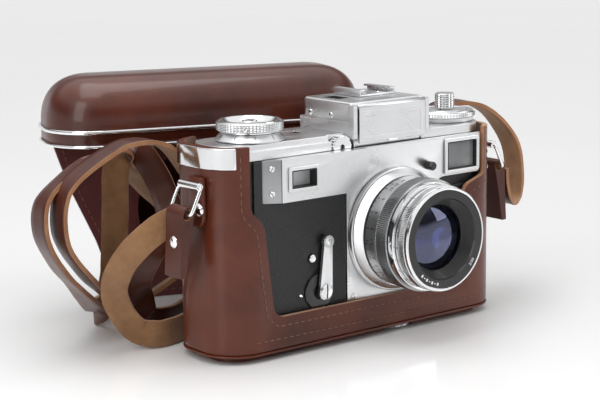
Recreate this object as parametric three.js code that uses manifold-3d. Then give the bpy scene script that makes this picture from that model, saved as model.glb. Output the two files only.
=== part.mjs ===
// Rangefinder camera of the 1950s with a built-in light meter, in its leather half-case,
// with the neck strap and the case's lift-off lid standing behind it.
// Millimetres, +Z up. Row origin: on the plane the case stands on, under the lens axis at the film plane.
// The camera and the half-case are drawn in their own group, whose origin is the lens axis
// on the face of the front plate: X to the viewer's right, Y away from the viewer, Z up.
import * as THREE from 'three';
import { mergeVertices } from 'three/addons/utils/BufferGeometryUtils.js';
import Module from 'manifold-3d';

const wasm = await Module();
wasm.setup();

// ---- driving dimensions -------------------------------------------------------------------
const LENS_HEIGHT = 46; // lens axis above the ground
const FILM_DEPTH = 25; // film plane behind the front plate
const GAP = 0.2; // clearance between neighbouring pieces
const BODY = { x0: -81, x1: 63.5, y0: 1.2, y1: 34.5, z0: -41.2, z1: 34, r: 14 };
const LEATHER = 2.2; // wall of the half-case
const CASE = { x0: -84, x1: 66.5, y0: -3, y1: 37.5, z0: -43.5, zEnd: 40.8, zBack: 36.4, r: 16 };
const SOLE_BOTTOM = -LENS_HEIGHT;
const WIND = { x: -56.1, y: 16.9 }; // winding knob and take-up spool axis
const REWIND = { x: 51, y: 17.5 }; // rewind knob and film cassette axis
const COVER_TOP = 38; // flat of the top cover
const DECK_TOP = 40.2; // raised deck on the winding side
const METER = { x0: -16.5, x1: 25, y0: 2, y1: 35, top: 52.6 };
const SHOE = { x0: -1, x1: 19, y0: 14, y1: 31 }; // accessory shoe on the meter housing
const DOOR = { x0: -14, x1: 22.1, z0: 36.3, z1: 49.2 };
const HINGE = { y: 0.2, z: 50.6, r: 0.6, knuckle: 1.35 };
const RF_ARM = { x0: -55.5, x1: -10.8, z0: 16.9, z1: 34.2, face: -3, corner: 11 };
const RF_FRAME = { x0: -52.5, x1: -36.9, z0: 20.6, z1: 30.8 };
const VF_FRAME = { x0: 34.3, x1: 54.7, z0: 17.6, z1: 33 };
const FOCUS_WHEEL = { x: -20.7, z: 35, r: 5.1, width: 3.4 };
const TIMER = { x: -33.4, z: -22.3, tipX: -31.9, tipZ: -1.9, buttonX: -38.6, buttonZ: -8.3 };
const LENS = { x: 6.3, y: 8, z: -1.9 }; // origin of the lens's own frame, its axis along Y
const SCREW_KNOB = { x: 10, y: 9.7, r: 9.5 };
const RING_TUBE = { y: 13, z: 26, r: 1.6, length: 13.4, out: 4.3 };
const LID = {
  x: -29.85, y: 61.95, turn: -18.5, length: 142, depth: 51, rim: 86.2, band: 7.4, top: 107.3, wall: 2.2,
  crownInset: 19,
};
const STRAP = { width: 11, thick: 1.9 };

// ---- finishes ----------------------------------------------------------------------------
function finish(color, roughness, metalness) {
  return { color, roughness, metalness };
}
const CHROME = finish(0xd9dadc, 0.28, 1);
const POLISHED = finish(0xe4e5e8, 0.1, 1);
const CAST = finish(0x8f9194, 0.5, 0.8);
const BLACK = finish(0x111214, 0.4, 0.1);
const PEBBLE = finish(0x17181a, 0.6, 0);
const LEATHER_BROWN = finish(0x6b2f1e, 0.3, 0);
const SUEDE = finish(0x8a5a2e, 0.9, 0);
const GLASS = finish(0x9aa4b8, 0.05, 0);
const FILM = finish(0x3b3a38, 0.5, 0.2);

// ---- solids ------------------------------------------------------------------------------
function toSolid(geometry) {
  const bare = geometry.clone();
  bare.deleteAttribute('normal');
  bare.deleteAttribute('uv');
  const merged = mergeVertices(bare, 1e-4);
  const triVerts = new Uint32Array(merged.index.array);
  const vertProperties = new Float32Array(merged.attributes.position.array);
  return new wasm.Manifold(new wasm.Mesh({ numProp: 3, vertProperties, triVerts }));
}

function toGeometry(solid) {
  const mesh = solid.getMesh();
  const geometry = new THREE.BufferGeometry();
  geometry.setAttribute('position', new THREE.BufferAttribute(mesh.vertProperties, 3));
  geometry.setIndex(new THREE.BufferAttribute(mesh.triVerts, 1));
  return geometry;
}

function join(first, ...others) {
  return toGeometry(others.reduce((sum, g) => sum.add(toSolid(g)), toSolid(first)));
}

function cut(first, ...others) {
  return toGeometry(others.reduce((rest, g) => rest.subtract(toSolid(g)), toSolid(first)));
}

function common(first, second) {
  return toGeometry(toSolid(first).intersect(toSolid(second)));
}

// ---- outlines and basic bodies --------------------------------------------------------------
function box(x0, x1, y0, y1, z0, z1) {
  const geometry = new THREE.BoxGeometry(x1 - x0, y1 - y0, z1 - z0);
  return geometry.translate((x0 + x1) / 2, (y0 + y1) / 2, (z0 + z1) / 2);
}

// a rectangle whose corner radii run from the low-left corner anticlockwise
function roundedOutline(u0, u1, v0, v1, radii) {
  const [a, b, c, d] = Array.isArray(radii) ? radii : [radii, radii, radii, radii];
  const shape = new THREE.Shape();
  shape.moveTo(u0 + a, v0);
  shape.lineTo(u1 - b, v0);
  if (b > 0) shape.absarc(u1 - b, v0 + b, b, -Math.PI / 2, 0, false);
  shape.lineTo(u1, v1 - c);
  if (c > 0) shape.absarc(u1 - c, v1 - c, c, 0, Math.PI / 2, false);
  shape.lineTo(u0 + d, v1);
  if (d > 0) shape.absarc(u0 + d, v1 - d, d, Math.PI / 2, Math.PI, false);
  shape.lineTo(u0, v0 + a);
  if (a > 0) shape.absarc(u0 + a, v0 + a, a, Math.PI, Math.PI * 1.5, false);
  return shape;
}

function polygon(points) {
  const shape = new THREE.Shape();
  points.forEach(([u, v], i) => (i ? shape.lineTo(u, v) : shape.moveTo(u, v)));
  return shape;
}

// outline in X and Y, raised between two heights, its edges rounded by bevel
function raise(shape, z0, z1, bevel = 0, curveSegments = 5) {
  const geometry = new THREE.ExtrudeGeometry(shape, {
    depth: z1 - z0 - 2 * bevel,
    bevelEnabled: bevel > 0,
    bevelSize: bevel,
    bevelOffset: -bevel,
    bevelThickness: bevel,
    bevelSegments: 1,
    curveSegments,
  });
  return geometry.translate(0, 0, z0 + bevel);
}

// outline in X and Z, running back between two depths
function face(shape, y0, y1, curveSegments = 5) {
  const geometry = new THREE.ExtrudeGeometry(shape, { depth: y1 - y0, bevelEnabled: false, curveSegments });
  return geometry.rotateX(Math.PI / 2).translate(0, y1, 0);
}

// a closed section of [radius, height] pairs turned about an axis; it runs anticlockwise
function turnedAboutY(section, segments = 28) {
  const points = section.map(([r, h]) => new THREE.Vector2(r, h));
  if (section[0][0] > 0 || section[section.length - 1][0] > 0) points.push(points[0].clone());
  return new THREE.LatheGeometry(points, segments);
}

function turnedAboutZ(section, segments = 28) {
  return turnedAboutY(section, segments).rotateX(Math.PI / 2);
}

function drumZ(x, y, r, z0, z1, segments = 24) {
  return turnedAboutZ([[0, z0], [r, z0], [r, z1], [0, z1]], segments).translate(x, y, 0);
}

function drumY(x, z, r, y0, y1, segments = 24) {
  return turnedAboutY([[0, y0], [r, y0], [r, y1], [0, y1]], segments).translate(x, 0, z);
}

function drumX(x0, x1, y, z, r, segments = 16) {
  const geometry = turnedAboutY([[0, x0], [r, x0], [r, x1], [0, x1]], segments);
  return geometry.rotateZ(-Math.PI / 2).translate(0, y, z);
}

function tubeY(x, z, rIn, rOut, y0, y1, segments = 28) {
  return turnedAboutY([[rIn, y0], [rOut, y0], [rOut, y1], [rIn, y1]], segments).translate(x, 0, z);
}

// ---- assembly ----------------------------------------------------------------------------
const part = new THREE.Group();
const camera = new THREE.Group();
camera.position.set(0, -FILM_DEPTH, LENS_HEIGHT);
part.add(camera);
const lens = new THREE.Group();
lens.position.set(LENS.x, LENS.y, LENS.z);
camera.add(lens);
const lid = new THREE.Group();
lid.position.set(LID.x, LID.y, 0);
lid.rotation.z = THREE.MathUtils.degToRad(LID.turn);
part.add(lid);

function piece(group, name, geometry, look) {
  geometry.computeVertexNormals();
  const mesh = new THREE.Mesh(geometry, new THREE.MeshStandardMaterial(look));
  mesh.name = name;
  group.add(mesh);
}

// ---- body, back and what they hold ----------------------------------------------------------
function bodyOutline() {
  return roundedOutline(BODY.x0, BODY.x1, BODY.y0, BODY.y1, BODY.r);
}

function bodyCasting() {
  const backSplit = BODY.y1 - 5;
  const outer = raise(bodyOutline(), -38.6, BODY.z1);
  return cut(
    outer,
    box(-90, 90, backSplit, 60, -60, 60),
    box(-38, 36, 8, 60, -34, 18.5),
    drumZ(WIND.x, WIND.y, 11.8, -36, 31),
    box(WIND.x - 11, WIND.x + 11, WIND.y, 60, -36, 31),
    drumZ(REWIND.x, REWIND.y, 11, -36, 31),
    box(REWIND.x - 10.5, REWIND.x + 10.5, REWIND.y, 60, -36, 31),
    box(WIND.x, REWIND.x, 23.5, 60, -20, 18),
    drumY(LENS.x, LENS.z, 20.6, -5, 12),
    box(-54.2, 54.2, -5, 7.8, 19.8, 31.2),
    box(-26, -13, -5, 5.6, 29, 60),
    drumZ(WIND.x, WIND.y, 2.6, 25, 60),
    drumZ(REWIND.x, REWIND.y, 2.6, 25, 60),
  );
}

function backCover() {
  const backSplit = BODY.y1 - 5 + GAP;
  const tray = raise(bodyOutline(), BODY.z0, -38.6 - GAP);
  const rear = common(raise(bodyOutline(), BODY.z0, BODY.z1), box(-90, 90, backSplit, 60, -60, 60));
  return cut(
    join(tray, rear),
    box(-70, 52, 20, BODY.y1 - 2, -38, 31),
  );
}

piece(camera, 'body_casting', bodyCasting(), CAST);
piece(camera, 'back_cover', backCover(), PEBBLE);
piece(camera, 'pressure_plate', box(-24, 24, 26, 27.4, -16, 16), BLACK);
piece(camera, 'film_gate', cut(box(-36, 35, 22.6, 24.8, -18, 17), box(-18, 18, 20, 30, -12, 12)), CAST);
piece(
  camera,
  'shutter_crate',
  cut(box(-34, 34, 10.4, 19.8, -32, 18), box(-20, 20, 5, 30, -14, 14)),
  BLACK,
);
piece(camera, 'shutter_curtain', box(-24, 24, 20.4, 21.2, -16, 16), BLACK);
piece(camera, 'rangefinder_prism', box(-50, 50, 2.2, 7.2, 20.6, 29.2), GLASS);
piece(
  camera,
  'take_up_spool',
  turnedAboutZ([
    [0, -34], [10.5, -34], [10.5, -32.6], [5, -32.6], [5, 22], [10.5, 22], [10.5, 23.4], [2.2, 23.4],
    [2.2, 43.6], [0, 43.6],
  ], 28).translate(WIND.x, WIND.y, 0),
  BLACK,
);
piece(
  camera,
  'film_cassette',
  turnedAboutZ([
    [0, -34], [4, -34], [4, -31], [10.4, -31], [10.4, 14.5], [4, 14.5], [4, 18], [0, 18],
  ], 28).translate(REWIND.x, REWIND.y, 0),
  FILM,
);

// ---- front: plate, leatherette and rangefinder arm -------------------------------------------
function frontPlate() {
  const shape = new THREE.Shape();
  shape.moveTo(-20, -40);
  shape.lineTo(30, -40);
  shape.lineTo(30, 12.9);
  shape.absarc(34, 12.9, 4, Math.PI, Math.PI / 2, true);
  shape.lineTo(54, 16.9);
  shape.absarc(54, 18.9, 2, -Math.PI / 2, 0, false);
  shape.lineTo(56, 34.2);
  shape.lineTo(-20, 34.2);
  const plate = face(shape, 0, 1);
  const window = box(VF_FRAME.x0 + 1.8, VF_FRAME.x1 - 1.8, -5, 5, VF_FRAME.z0 + 1.8, VF_FRAME.z1 - 1.8);
  return cut(plate, drumY(LENS.x, LENS.z, 20.6, -5, 5, 32), window);
}

function rangefinderArm() {
  const { x0, x1, z0, z1 } = RF_ARM;
  const front = face(roundedOutline(x0, x1, z0, z1, [0, RF_ARM.corner, 0, 0]), RF_ARM.face, -GAP);
  const root = box(x0, -20 - GAP, -1, BODY.y0 - GAP, z0, z1);
  const window = box(RF_FRAME.x0 + 1.8, RF_FRAME.x1 - 1.8, -9, 9, RF_FRAME.z0 + 1.6, RF_FRAME.z1 - 1.6);
  return cut(join(front, root), window);
}

function windowFrame(frame, border, y0, y1) {
  const outer = roundedOutline(frame.x0, frame.x1, frame.z0, frame.z1, 0.8);
  const hole = box(frame.x0 + border, frame.x1 - border, -9, 9, frame.z0 + border, frame.z1 - border);
  return cut(face(outer, y0, y1, 3), hole);
}

piece(camera, 'front_plate', frontPlate(), CHROME);
piece(camera, 'rangefinder_arm', rangefinderArm(), CHROME);
piece(
  camera,
  'arm_end_cap',
  raise(polygon([[-55.7, -3], [-55.7, 0.9], [-62.6, 0.9]]), RF_ARM.z0, RF_ARM.z1),
  CAST,
);
piece(camera, 'rangefinder_window_frame', windowFrame(RF_FRAME, 1.5, -3.9, -3.05), CHROME);
piece(camera, 'rangefinder_glass', box(-50.4, -39, -1.6, -0.8, 22.5, 28.9), GLASS);
piece(camera, 'viewfinder_window_frame', windowFrame(VF_FRAME, 1.7, -0.9, -0.05), CHROME);
piece(camera, 'viewfinder_glass', box(36.4, 52.6, 0.1, 0.9, 19.7, 30.9), GLASS);
piece(
  camera,
  'leatherette_left',
  cut(
    face(polygon([[-67, -40], [-20.3, -40], [-20.3, 16.7], [-62.8, 16.7], [-62.8, 34], [-67, 34]]), 0.3, 1),
    drumY(TIMER.buttonX, TIMER.buttonZ, 1.9, -1, 2, 16),
  ),
  PEBBLE,
);
piece(camera, 'leatherette_right', box(30.3, 49.5, 0.3, 1, -40, 12.6), PEBBLE);

// ---- top cover and light meter ----------------------------------------------------------------
function topCover() {
  const slab = raise(roundedOutline(-80, 62.5, 1.4, 34, 13.5), 34.2, COVER_TOP);
  const deck = raise(roundedOutline(-78, METER.x0 - GAP, 3.6, 32, [12, 1, 1, 12]), 37, DECK_TOP);
  const wheelSlot = box(FOCUS_WHEEL.x - 5.9, FOCUS_WHEEL.x + 5.9, -5, 5.6, 20, 60);
  return cut(
    join(slab, deck),
    wheelSlot,
    drumZ(WIND.x, WIND.y, 2.6, 20, 60),
    drumZ(REWIND.x, REWIND.y, 2.6, 20, 60),
    box(-14, 22.4, -5, 2.2, 20, 60),
  );
}

function meterHousing() {
  const { x0, x1, y0, y1, top } = METER;
  const lower = box(x0, x1, y0, y1, COVER_TOP + 0.1, 44.6);
  const upper = raise(roundedOutline(x0 + 0.8, x1 - 0.8, y0, y1 - 0.8, [1.2, 1.2, 3, 3]), 44, top, 0.8);
  const pillarLeft = box(x0, DOOR.x0 - GAP - 0.4, -0.9, y0 + 1, COVER_TOP + 0.1, 51.8);
  const pillarRight = box(DOOR.x1 + GAP + 0.4, x1, -0.9, y0 + 1, COVER_TOP + 0.1, 51.8);
  const cell = box(-13, 21.4, 0, 7, 39.4, 48.6);
  const roll = box(DOOR.x0 - 0.5, DOOR.x1 + 0.5, -3, y0 + 0.4, 36, 52.2);
  const needle = box(-11.4, -4.6, 16, 26, top - 2, top + 2);
  const pin = drumX(x0 - 1, x1 + 1, HINGE.y, HINGE.z, HINGE.r + 0.1, 12);
  return cut(join(lower, upper, pillarLeft, pillarRight), cell, roll, needle, pin);
}

function meterDoor() {
  const panel = box(DOOR.x0, DOOR.x1, -1.4, -0.1, DOOR.z0, DOOR.z1);
  const web = box(DOOR.x0, DOOR.x1, -1.2, -0.1, DOOR.z1 - 0.5, HINGE.z);
  const knuckle = drumX(DOOR.x0, DOOR.x1, HINGE.y, HINGE.z, HINGE.knuckle, 16);
  const bore = drumX(DOOR.x0 - 1, DOOR.x1 + 1, HINGE.y, HINGE.z, HINGE.r + 0.15, 12);
  return cut(join(panel, web, knuckle), bore);
}

function accessoryShoe() {
  const { x0, x1, y0, y1 } = SHOE;
  const seat = METER.top + 0.9;
  const top = METER.top + 3;
  const wall = 1.2;
  const lip = 3.2;
  return join(
    box(x0, x1, y0, y1, METER.top + 0.1, seat),
    box(x0, x0 + wall, y0, y1, seat - 0.4, top),
    box(x1 - wall, x1, y0, y1, seat - 0.4, top),
    box(x0, x0 + lip, y0, y1, top - 0.8, top),
    box(x1 - lip, x1, y0, y1, top - 0.8, top),
  );
}

piece(camera, 'top_cover', topCover(), CHROME);
piece(camera, 'meter_housing', meterHousing(), CHROME);
piece(camera, 'meter_door', meterDoor(), CHROME);
piece(
  camera,
  'meter_door_pin',
  drumX(METER.x0 + 0.3, METER.x1 - 0.3, HINGE.y, HINGE.z, HINGE.r, 12),
  POLISHED,
);
piece(camera, 'selenium_cell', box(-12.6, 21, 3.6, 6.4, 39.8, 48.2), BLACK);
piece(camera, 'meter_window', box(-11, -5, 16.4, 25.6, METER.top - 1.7, METER.top - 0.5), GLASS);
piece(camera, 'accessory_shoe', accessoryShoe(), CHROME);

// ---- winding side: knob, speed dial, release -------------------------------------------------
piece(
  camera,
  'speed_dial',
  turnedAboutZ([
    [2.6, DECK_TOP + GAP], [14.2, DECK_TOP + GAP], [14.2, 41], [11.8, 43.6], [2.6, 43.6],
  ], 28).translate(WIND.x, WIND.y, 0),
  CHROME,
);
piece(
  camera,
  'winding_knob',
  turnedAboutZ([
    [3.7, 43.9], [13.3, 43.9], [13.8, 44.4], [13.8, 47.8], [13.2, 48.5], [11.6, 48.5], [8.6, 46.2],
    [3.7, 45.8],
  ], 28).translate(WIND.x, WIND.y, 0),
  CHROME,
);
piece(camera, 'shutter_button', drumZ(WIND.x, WIND.y, 3.3, 45.2, 48.2, 24), POLISHED);

// ---- rewind side --------------------------------------------------------------------------
piece(
  camera,
  'exposure_dial',
  turnedAboutZ([
    [2.6, COVER_TOP + GAP], [12.4, COVER_TOP + GAP], [12.4, 39.8], [13.5, 39.9], [13.5, 42.2], [12.6, 42.8],
    [2.6, 42.8],
  ], 28).translate(REWIND.x, REWIND.y, 0),
  CHROME,
);
piece(
  camera,
  'rewind_knob',
  turnedAboutZ([
    [0, 18.4], [2.2, 18.4], [2.2, 43.2], [4.4, 43.2], [4.4, 49.6], [3.9, 50], [0, 50],
  ], 24).translate(REWIND.x, REWIND.y, 0),
  CHROME,
);

// ---- focusing: wheel by the top cover, lock, lens rings ---------------------------------------
piece(
  camera,
  'focus_wheel',
  drumY(FOCUS_WHEEL.x, FOCUS_WHEEL.z, FOCUS_WHEEL.r, 1.6, 1.6 + FOCUS_WHEEL.width, 28),
  CHROME,
);
piece(camera, 'infinity_lock', drumY(24.5, 22.8, 1.9, -4.4, -0.6, 16), POLISHED);
piece(lens, 'lens_flange', tubeY(0, 0, 20.3, 26, -10.6, -LENS.y - GAP, 32), CHROME);
piece(
  lens,
  'depth_ring',
  turnedAboutY([[20.3, -14.6], [23.4, -14.6], [25.4, -10.8], [20.3, -10.8]], 32),
  CHROME,
);
piece(
  lens,
  'focus_ring',
  turnedAboutY([
    [19.6, -28.6], [23.2, -28.6], [23.5, -28.2], [23.5, -22], [23, -21.6], [23, -15], [19.6, -15],
  ], 32),
  CHROME,
);
piece(
  lens,
  'lens_barrel',
  turnedAboutY([
    [17.4, -38.3], [20.4, -38.3], [20.4, -39], [21, -39], [21.5, -38.4], [21.5, -37.4], [19.2, -37.4],
    [19.2, -31.8], [22.6, -31.8], [22.6, -28.9], [19.2, -28.9], [19.2, -1], [17.4, -1],
  ], 32),
  CHROME,
);
piece(
  lens,
  'aperture_ring',
  turnedAboutY([
    [19.6, -37.1], [21.8, -37.1], [21.8, -33.9], [21.2, -33.8], [21.2, -32.1], [19.6, -32.1],
  ], 32),
  CHROME,
);
piece(
  lens,
  'front_bezel',
  turnedAboutY([
    [16.8, -38.9], [20.2, -38.9], [20.2, -38.5], [17.2, -38.5], [17.2, -33], [13.7, -33], [13.7, -33.6],
  ], 32),
  BLACK,
);
piece(
  lens,
  'front_element',
  turnedAboutY([[0, -35.8], [4.6, -35.5], [9.2, -34.4], [13.3, -32.6], [13.3, -30.8], [0, -30.8]], 32),
  GLASS,
);
piece(lens, 'iris_diaphragm', tubeY(0, 0, 6.5, 17.1, -23, -22.4, 32), BLACK);
piece(
  lens,
  'rear_element',
  turnedAboutY([[0, -7], [11, -7], [11, -3], [6, -1.9], [0, -1.4]], 28),
  GLASS,
);

// ---- self-timer ------------------------------------------------------------------------------
function timerLever() {
  const blade = face(
    polygon([
      [TIMER.x - 3.3, TIMER.z - 1], [TIMER.x - 1.5, TIMER.z - 3.3], [TIMER.x + 1.5, TIMER.z - 3.3],
      [TIMER.x + 3.3, TIMER.z - 1], [TIMER.tipX + 2.1, TIMER.tipZ], [TIMER.tipX - 2.1, TIMER.tipZ],
    ]),
    -2.6,
    -1.2,
  );
  const tip = drumY(TIMER.tipX, TIMER.tipZ, 2.6, -3, -1.2, 16);
  const hole = drumY(TIMER.x, TIMER.z, 1.4, -9, 9, 16);
  return cut(join(blade, tip), hole);
}

piece(camera, 'timer_plate', tubeY(-35, -22.5, 3.2, 7.4, -0.5, 0.1, 28), BLACK);
piece(camera, 'timer_lever', timerLever(), CHROME);
piece(
  camera,
  'timer_screw',
  join(drumY(TIMER.x, TIMER.z, 3, -3.6, -2.8, 20), drumY(TIMER.x, TIMER.z, 1.2, -3, 0.1, 12)),
  POLISHED,
);
piece(camera, 'timer_button', drumY(TIMER.buttonX, TIMER.buttonZ, 1.6, -0.9, 0.1, 16), POLISHED);

// ---- leather half-case ------------------------------------------------------------------------
function caseOutline(grow) {
  return roundedOutline(CASE.x0 - grow, CASE.x1 + grow, CASE.y0 - grow, CASE.y1 + grow, CASE.r + grow);
}

function halfCase() {
  const outer = raise(caseOutline(0), CASE.z0, CASE.zEnd + 5, 3, 5);
  const inner = raise(caseOutline(-LEATHER), CASE.z0 + LEATHER, 60, 0, 5);
  const front = face(
    polygon([
      [-71, 60], [-71, 16.6], [-69.6, 13.8], [-65.4, 10], [-64.4, 7.6], [-60.4, -26], [-57, -29],
      [38.6, -29], [41.4, -26.4], [43, 8.6], [45.4, 12.6], [51.5, 14.6], [56.4, 16], [57, 60],
    ]),
    -20,
    CASE.y0 + 12,
  );
  return cut(
    outer,
    inner,
    front,
    box(-69.5, 120, -30, 90, CASE.zBack, 90),
    box(-120, 120, -30, 90, CASE.zEnd, 90),
    drumZ(SCREW_KNOB.x, SCREW_KNOB.y, 3.6, -60, -40, 16),
  );
}

function cornerBand() {
  const ring = cut(
    raise(caseOutline(0.9), 32.3, CASE.zEnd - 0.2, 0, 5),
    raise(caseOutline(GAP), 20, 60, 0, 5),
  );
  return common(ring, box(-120, -76.5, -30, 90, 0, 90));
}

piece(camera, 'half_case', halfCase(), LEATHER_BROWN);
piece(
  camera,
  'case_sole',
  cut(
    raise(roundedOutline(-78.5, 61, 2.5, 32, 11), SOLE_BOTTOM, CASE.z0 - GAP, 0, 5),
    drumZ(SCREW_KNOB.x, SCREW_KNOB.y, SCREW_KNOB.r + 1, -60, -40, 28),
  ),
  LEATHER_BROWN,
);
piece(
  camera,
  'case_screw',
  join(
    drumZ(SCREW_KNOB.x, SCREW_KNOB.y, SCREW_KNOB.r, SOLE_BOTTOM + GAP, CASE.z0 - GAP, 32),
    drumZ(SCREW_KNOB.x, SCREW_KNOB.y, 3.1, -44, -41.4, 16),
  ),
  CHROME,
);
piece(camera, 'corner_band', cornerBand(), POLISHED);

// ---- strap lugs and rings, one at each end ------------------------------------------------------
function lug(side) {
  const wall = side < 0 ? CASE.x0 : CASE.x1;
  const near = wall + side * GAP;
  const far = wall + side * 2.2;
  return box(Math.min(near, far), Math.max(near, far), RING_TUBE.y - 4.6, RING_TUBE.y + 4.6, 9, 29);
}

function strapRing(side) {
  const x = (side < 0 ? CASE.x0 : CASE.x1) + side * RING_TUBE.out;
  const { y, z, length } = RING_TUBE;
  const tube = turnedAboutY([[0, -length / 2], [RING_TUBE.r, -length / 2], [RING_TUBE.r, length / 2],
    [0, length / 2]], 12).translate(x, y, z);
  const half = length / 2 + 0.6;
  const loop = new THREE.CatmullRomCurve3([
    new THREE.Vector3(x, y - half + 0.8, z),
    new THREE.Vector3(x + side * 1.2, y - half, z - 2.4),
    new THREE.Vector3(x + side * 4, y - half, z - 8.2),
    new THREE.Vector3(x + side * 5, y - half + 1.5, z - 10.4),
    new THREE.Vector3(x + side * 5, y + half - 1.5, z - 10.4),
    new THREE.Vector3(x + side * 4, y + half, z - 8.2),
    new THREE.Vector3(x + side * 1.2, y + half, z - 2.4),
    new THREE.Vector3(x, y + half - 0.8, z),
  ]);
  const wireSection = new THREE.Shape();
  wireSection.absarc(0, 0, 0.9, 0, Math.PI * 2, false);
  const wire = new THREE.ExtrudeGeometry(wireSection, { steps: 18, extrudePath: loop, curveSegments: 3 });
  return join(tube, wire);
}

// the strap's end, folded round the ring's wire and riveted to itself
function foldedEnd(side) {
  const x = (side < 0 ? CASE.x0 : CASE.x1) + side * (RING_TUBE.out + 5);
  const z = RING_TUBE.z - 10.4;
  const outline = new THREE.Shape();
  outline.absarc(0, 0, 3.2, 0, Math.PI, false);
  outline.lineTo(-2, -20);
  outline.lineTo(-1.2, -25);
  outline.lineTo(1.2, -25);
  outline.lineTo(2, -20);
  const tab = face(outline, -STRAP.width / 2, STRAP.width / 2, 6);
  const eye = drumY(0, 0, 2.1, -20, 20, 16);
  const folded = cut(tab, eye);
  folded.rotateY(side * -0.12);
  return folded.translate(x, RING_TUBE.y, z);
}

[['left', -1], ['right', 1]].forEach(([word, side]) => {
  piece(camera, `case_lug_${word}`, lug(side), LEATHER_BROWN);
  piece(camera, `strap_ring_${word}`, strapRing(side), POLISHED);
  piece(camera, `strap_end_${word}`, foldedEnd(side), LEATHER_BROWN);
});

// ---- lid of the case, lifted off and turned round -------------------------------------------------
// its own frame: X along the lid, the nose towards +Y
function lidOutline(grow) {
  const { length, depth } = LID;
  const x = length / 2 + grow;
  const y = depth / 2 + grow;
  return roundedOutline(-x, x, -y, y, 22 + grow);
}

function dome(grow, base) {
  const steps = 4;
  const height = LID.top - LID.rim + grow;
  const layers = [];
  for (let i = 0; i < steps; i += 1) {
    const a = (i / steps) * Math.PI / 2;
    const b = ((i + 1) / steps) * Math.PI / 2;
    const inset = (1 - Math.cos(a)) * LID.crownInset;
    const low = i === 0 ? base : LID.rim + height * Math.sin(a) - 0.01;
    layers.push(raise(lidOutline(grow - inset), low, LID.rim + height * Math.sin(b), 0, 4));
  }
  return join(...layers);
}

function lidShell() {
  return cut(dome(0, LID.rim - LID.band), dome(-LID.wall, LID.rim - LID.band - 5));
}

function lidFlap() {
  const y1 = LID.depth / 2 - 0.4;
  const edge = [
    [28, 0.6], [39.5, 14], [44.6, 29], [50, 41], [55, 52], [60, 66], [64, LID.rim - LID.band - 0.4],
  ];
  const panel = face(polygon([...edge.map(([x, z]) => [-x, z]).reverse(), ...edge]), y1 - LID.wall, y1);
  const noseOut = turnedAboutY([
    [0, y1 - 1], [27, y1 - 1], [25.5, y1 + 24], [22, y1 + 30], [0, y1 + 31],
  ], 28).translate(0, 0, 42);
  const noseIn = turnedAboutY([
    [0, y1 - 9], [25, y1 - 9], [23.4, y1 + 23], [20, y1 + 28], [0, y1 + 29],
  ], 28).translate(0, 0, 42);
  return cut(join(panel, noseOut), noseIn);
}

piece(lid, 'lid_shell', lidShell(), LEATHER_BROWN);
piece(lid, 'lid_front', lidFlap(), LEATHER_BROWN);
piece(
  lid,
  'lid_trim',
  cut(raise(lidOutline(1.3), LID.rim - 1.6, LID.rim, 0, 5), raise(lidOutline(0.3), 20, 200, 0, 5)),
  POLISHED,
);

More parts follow.
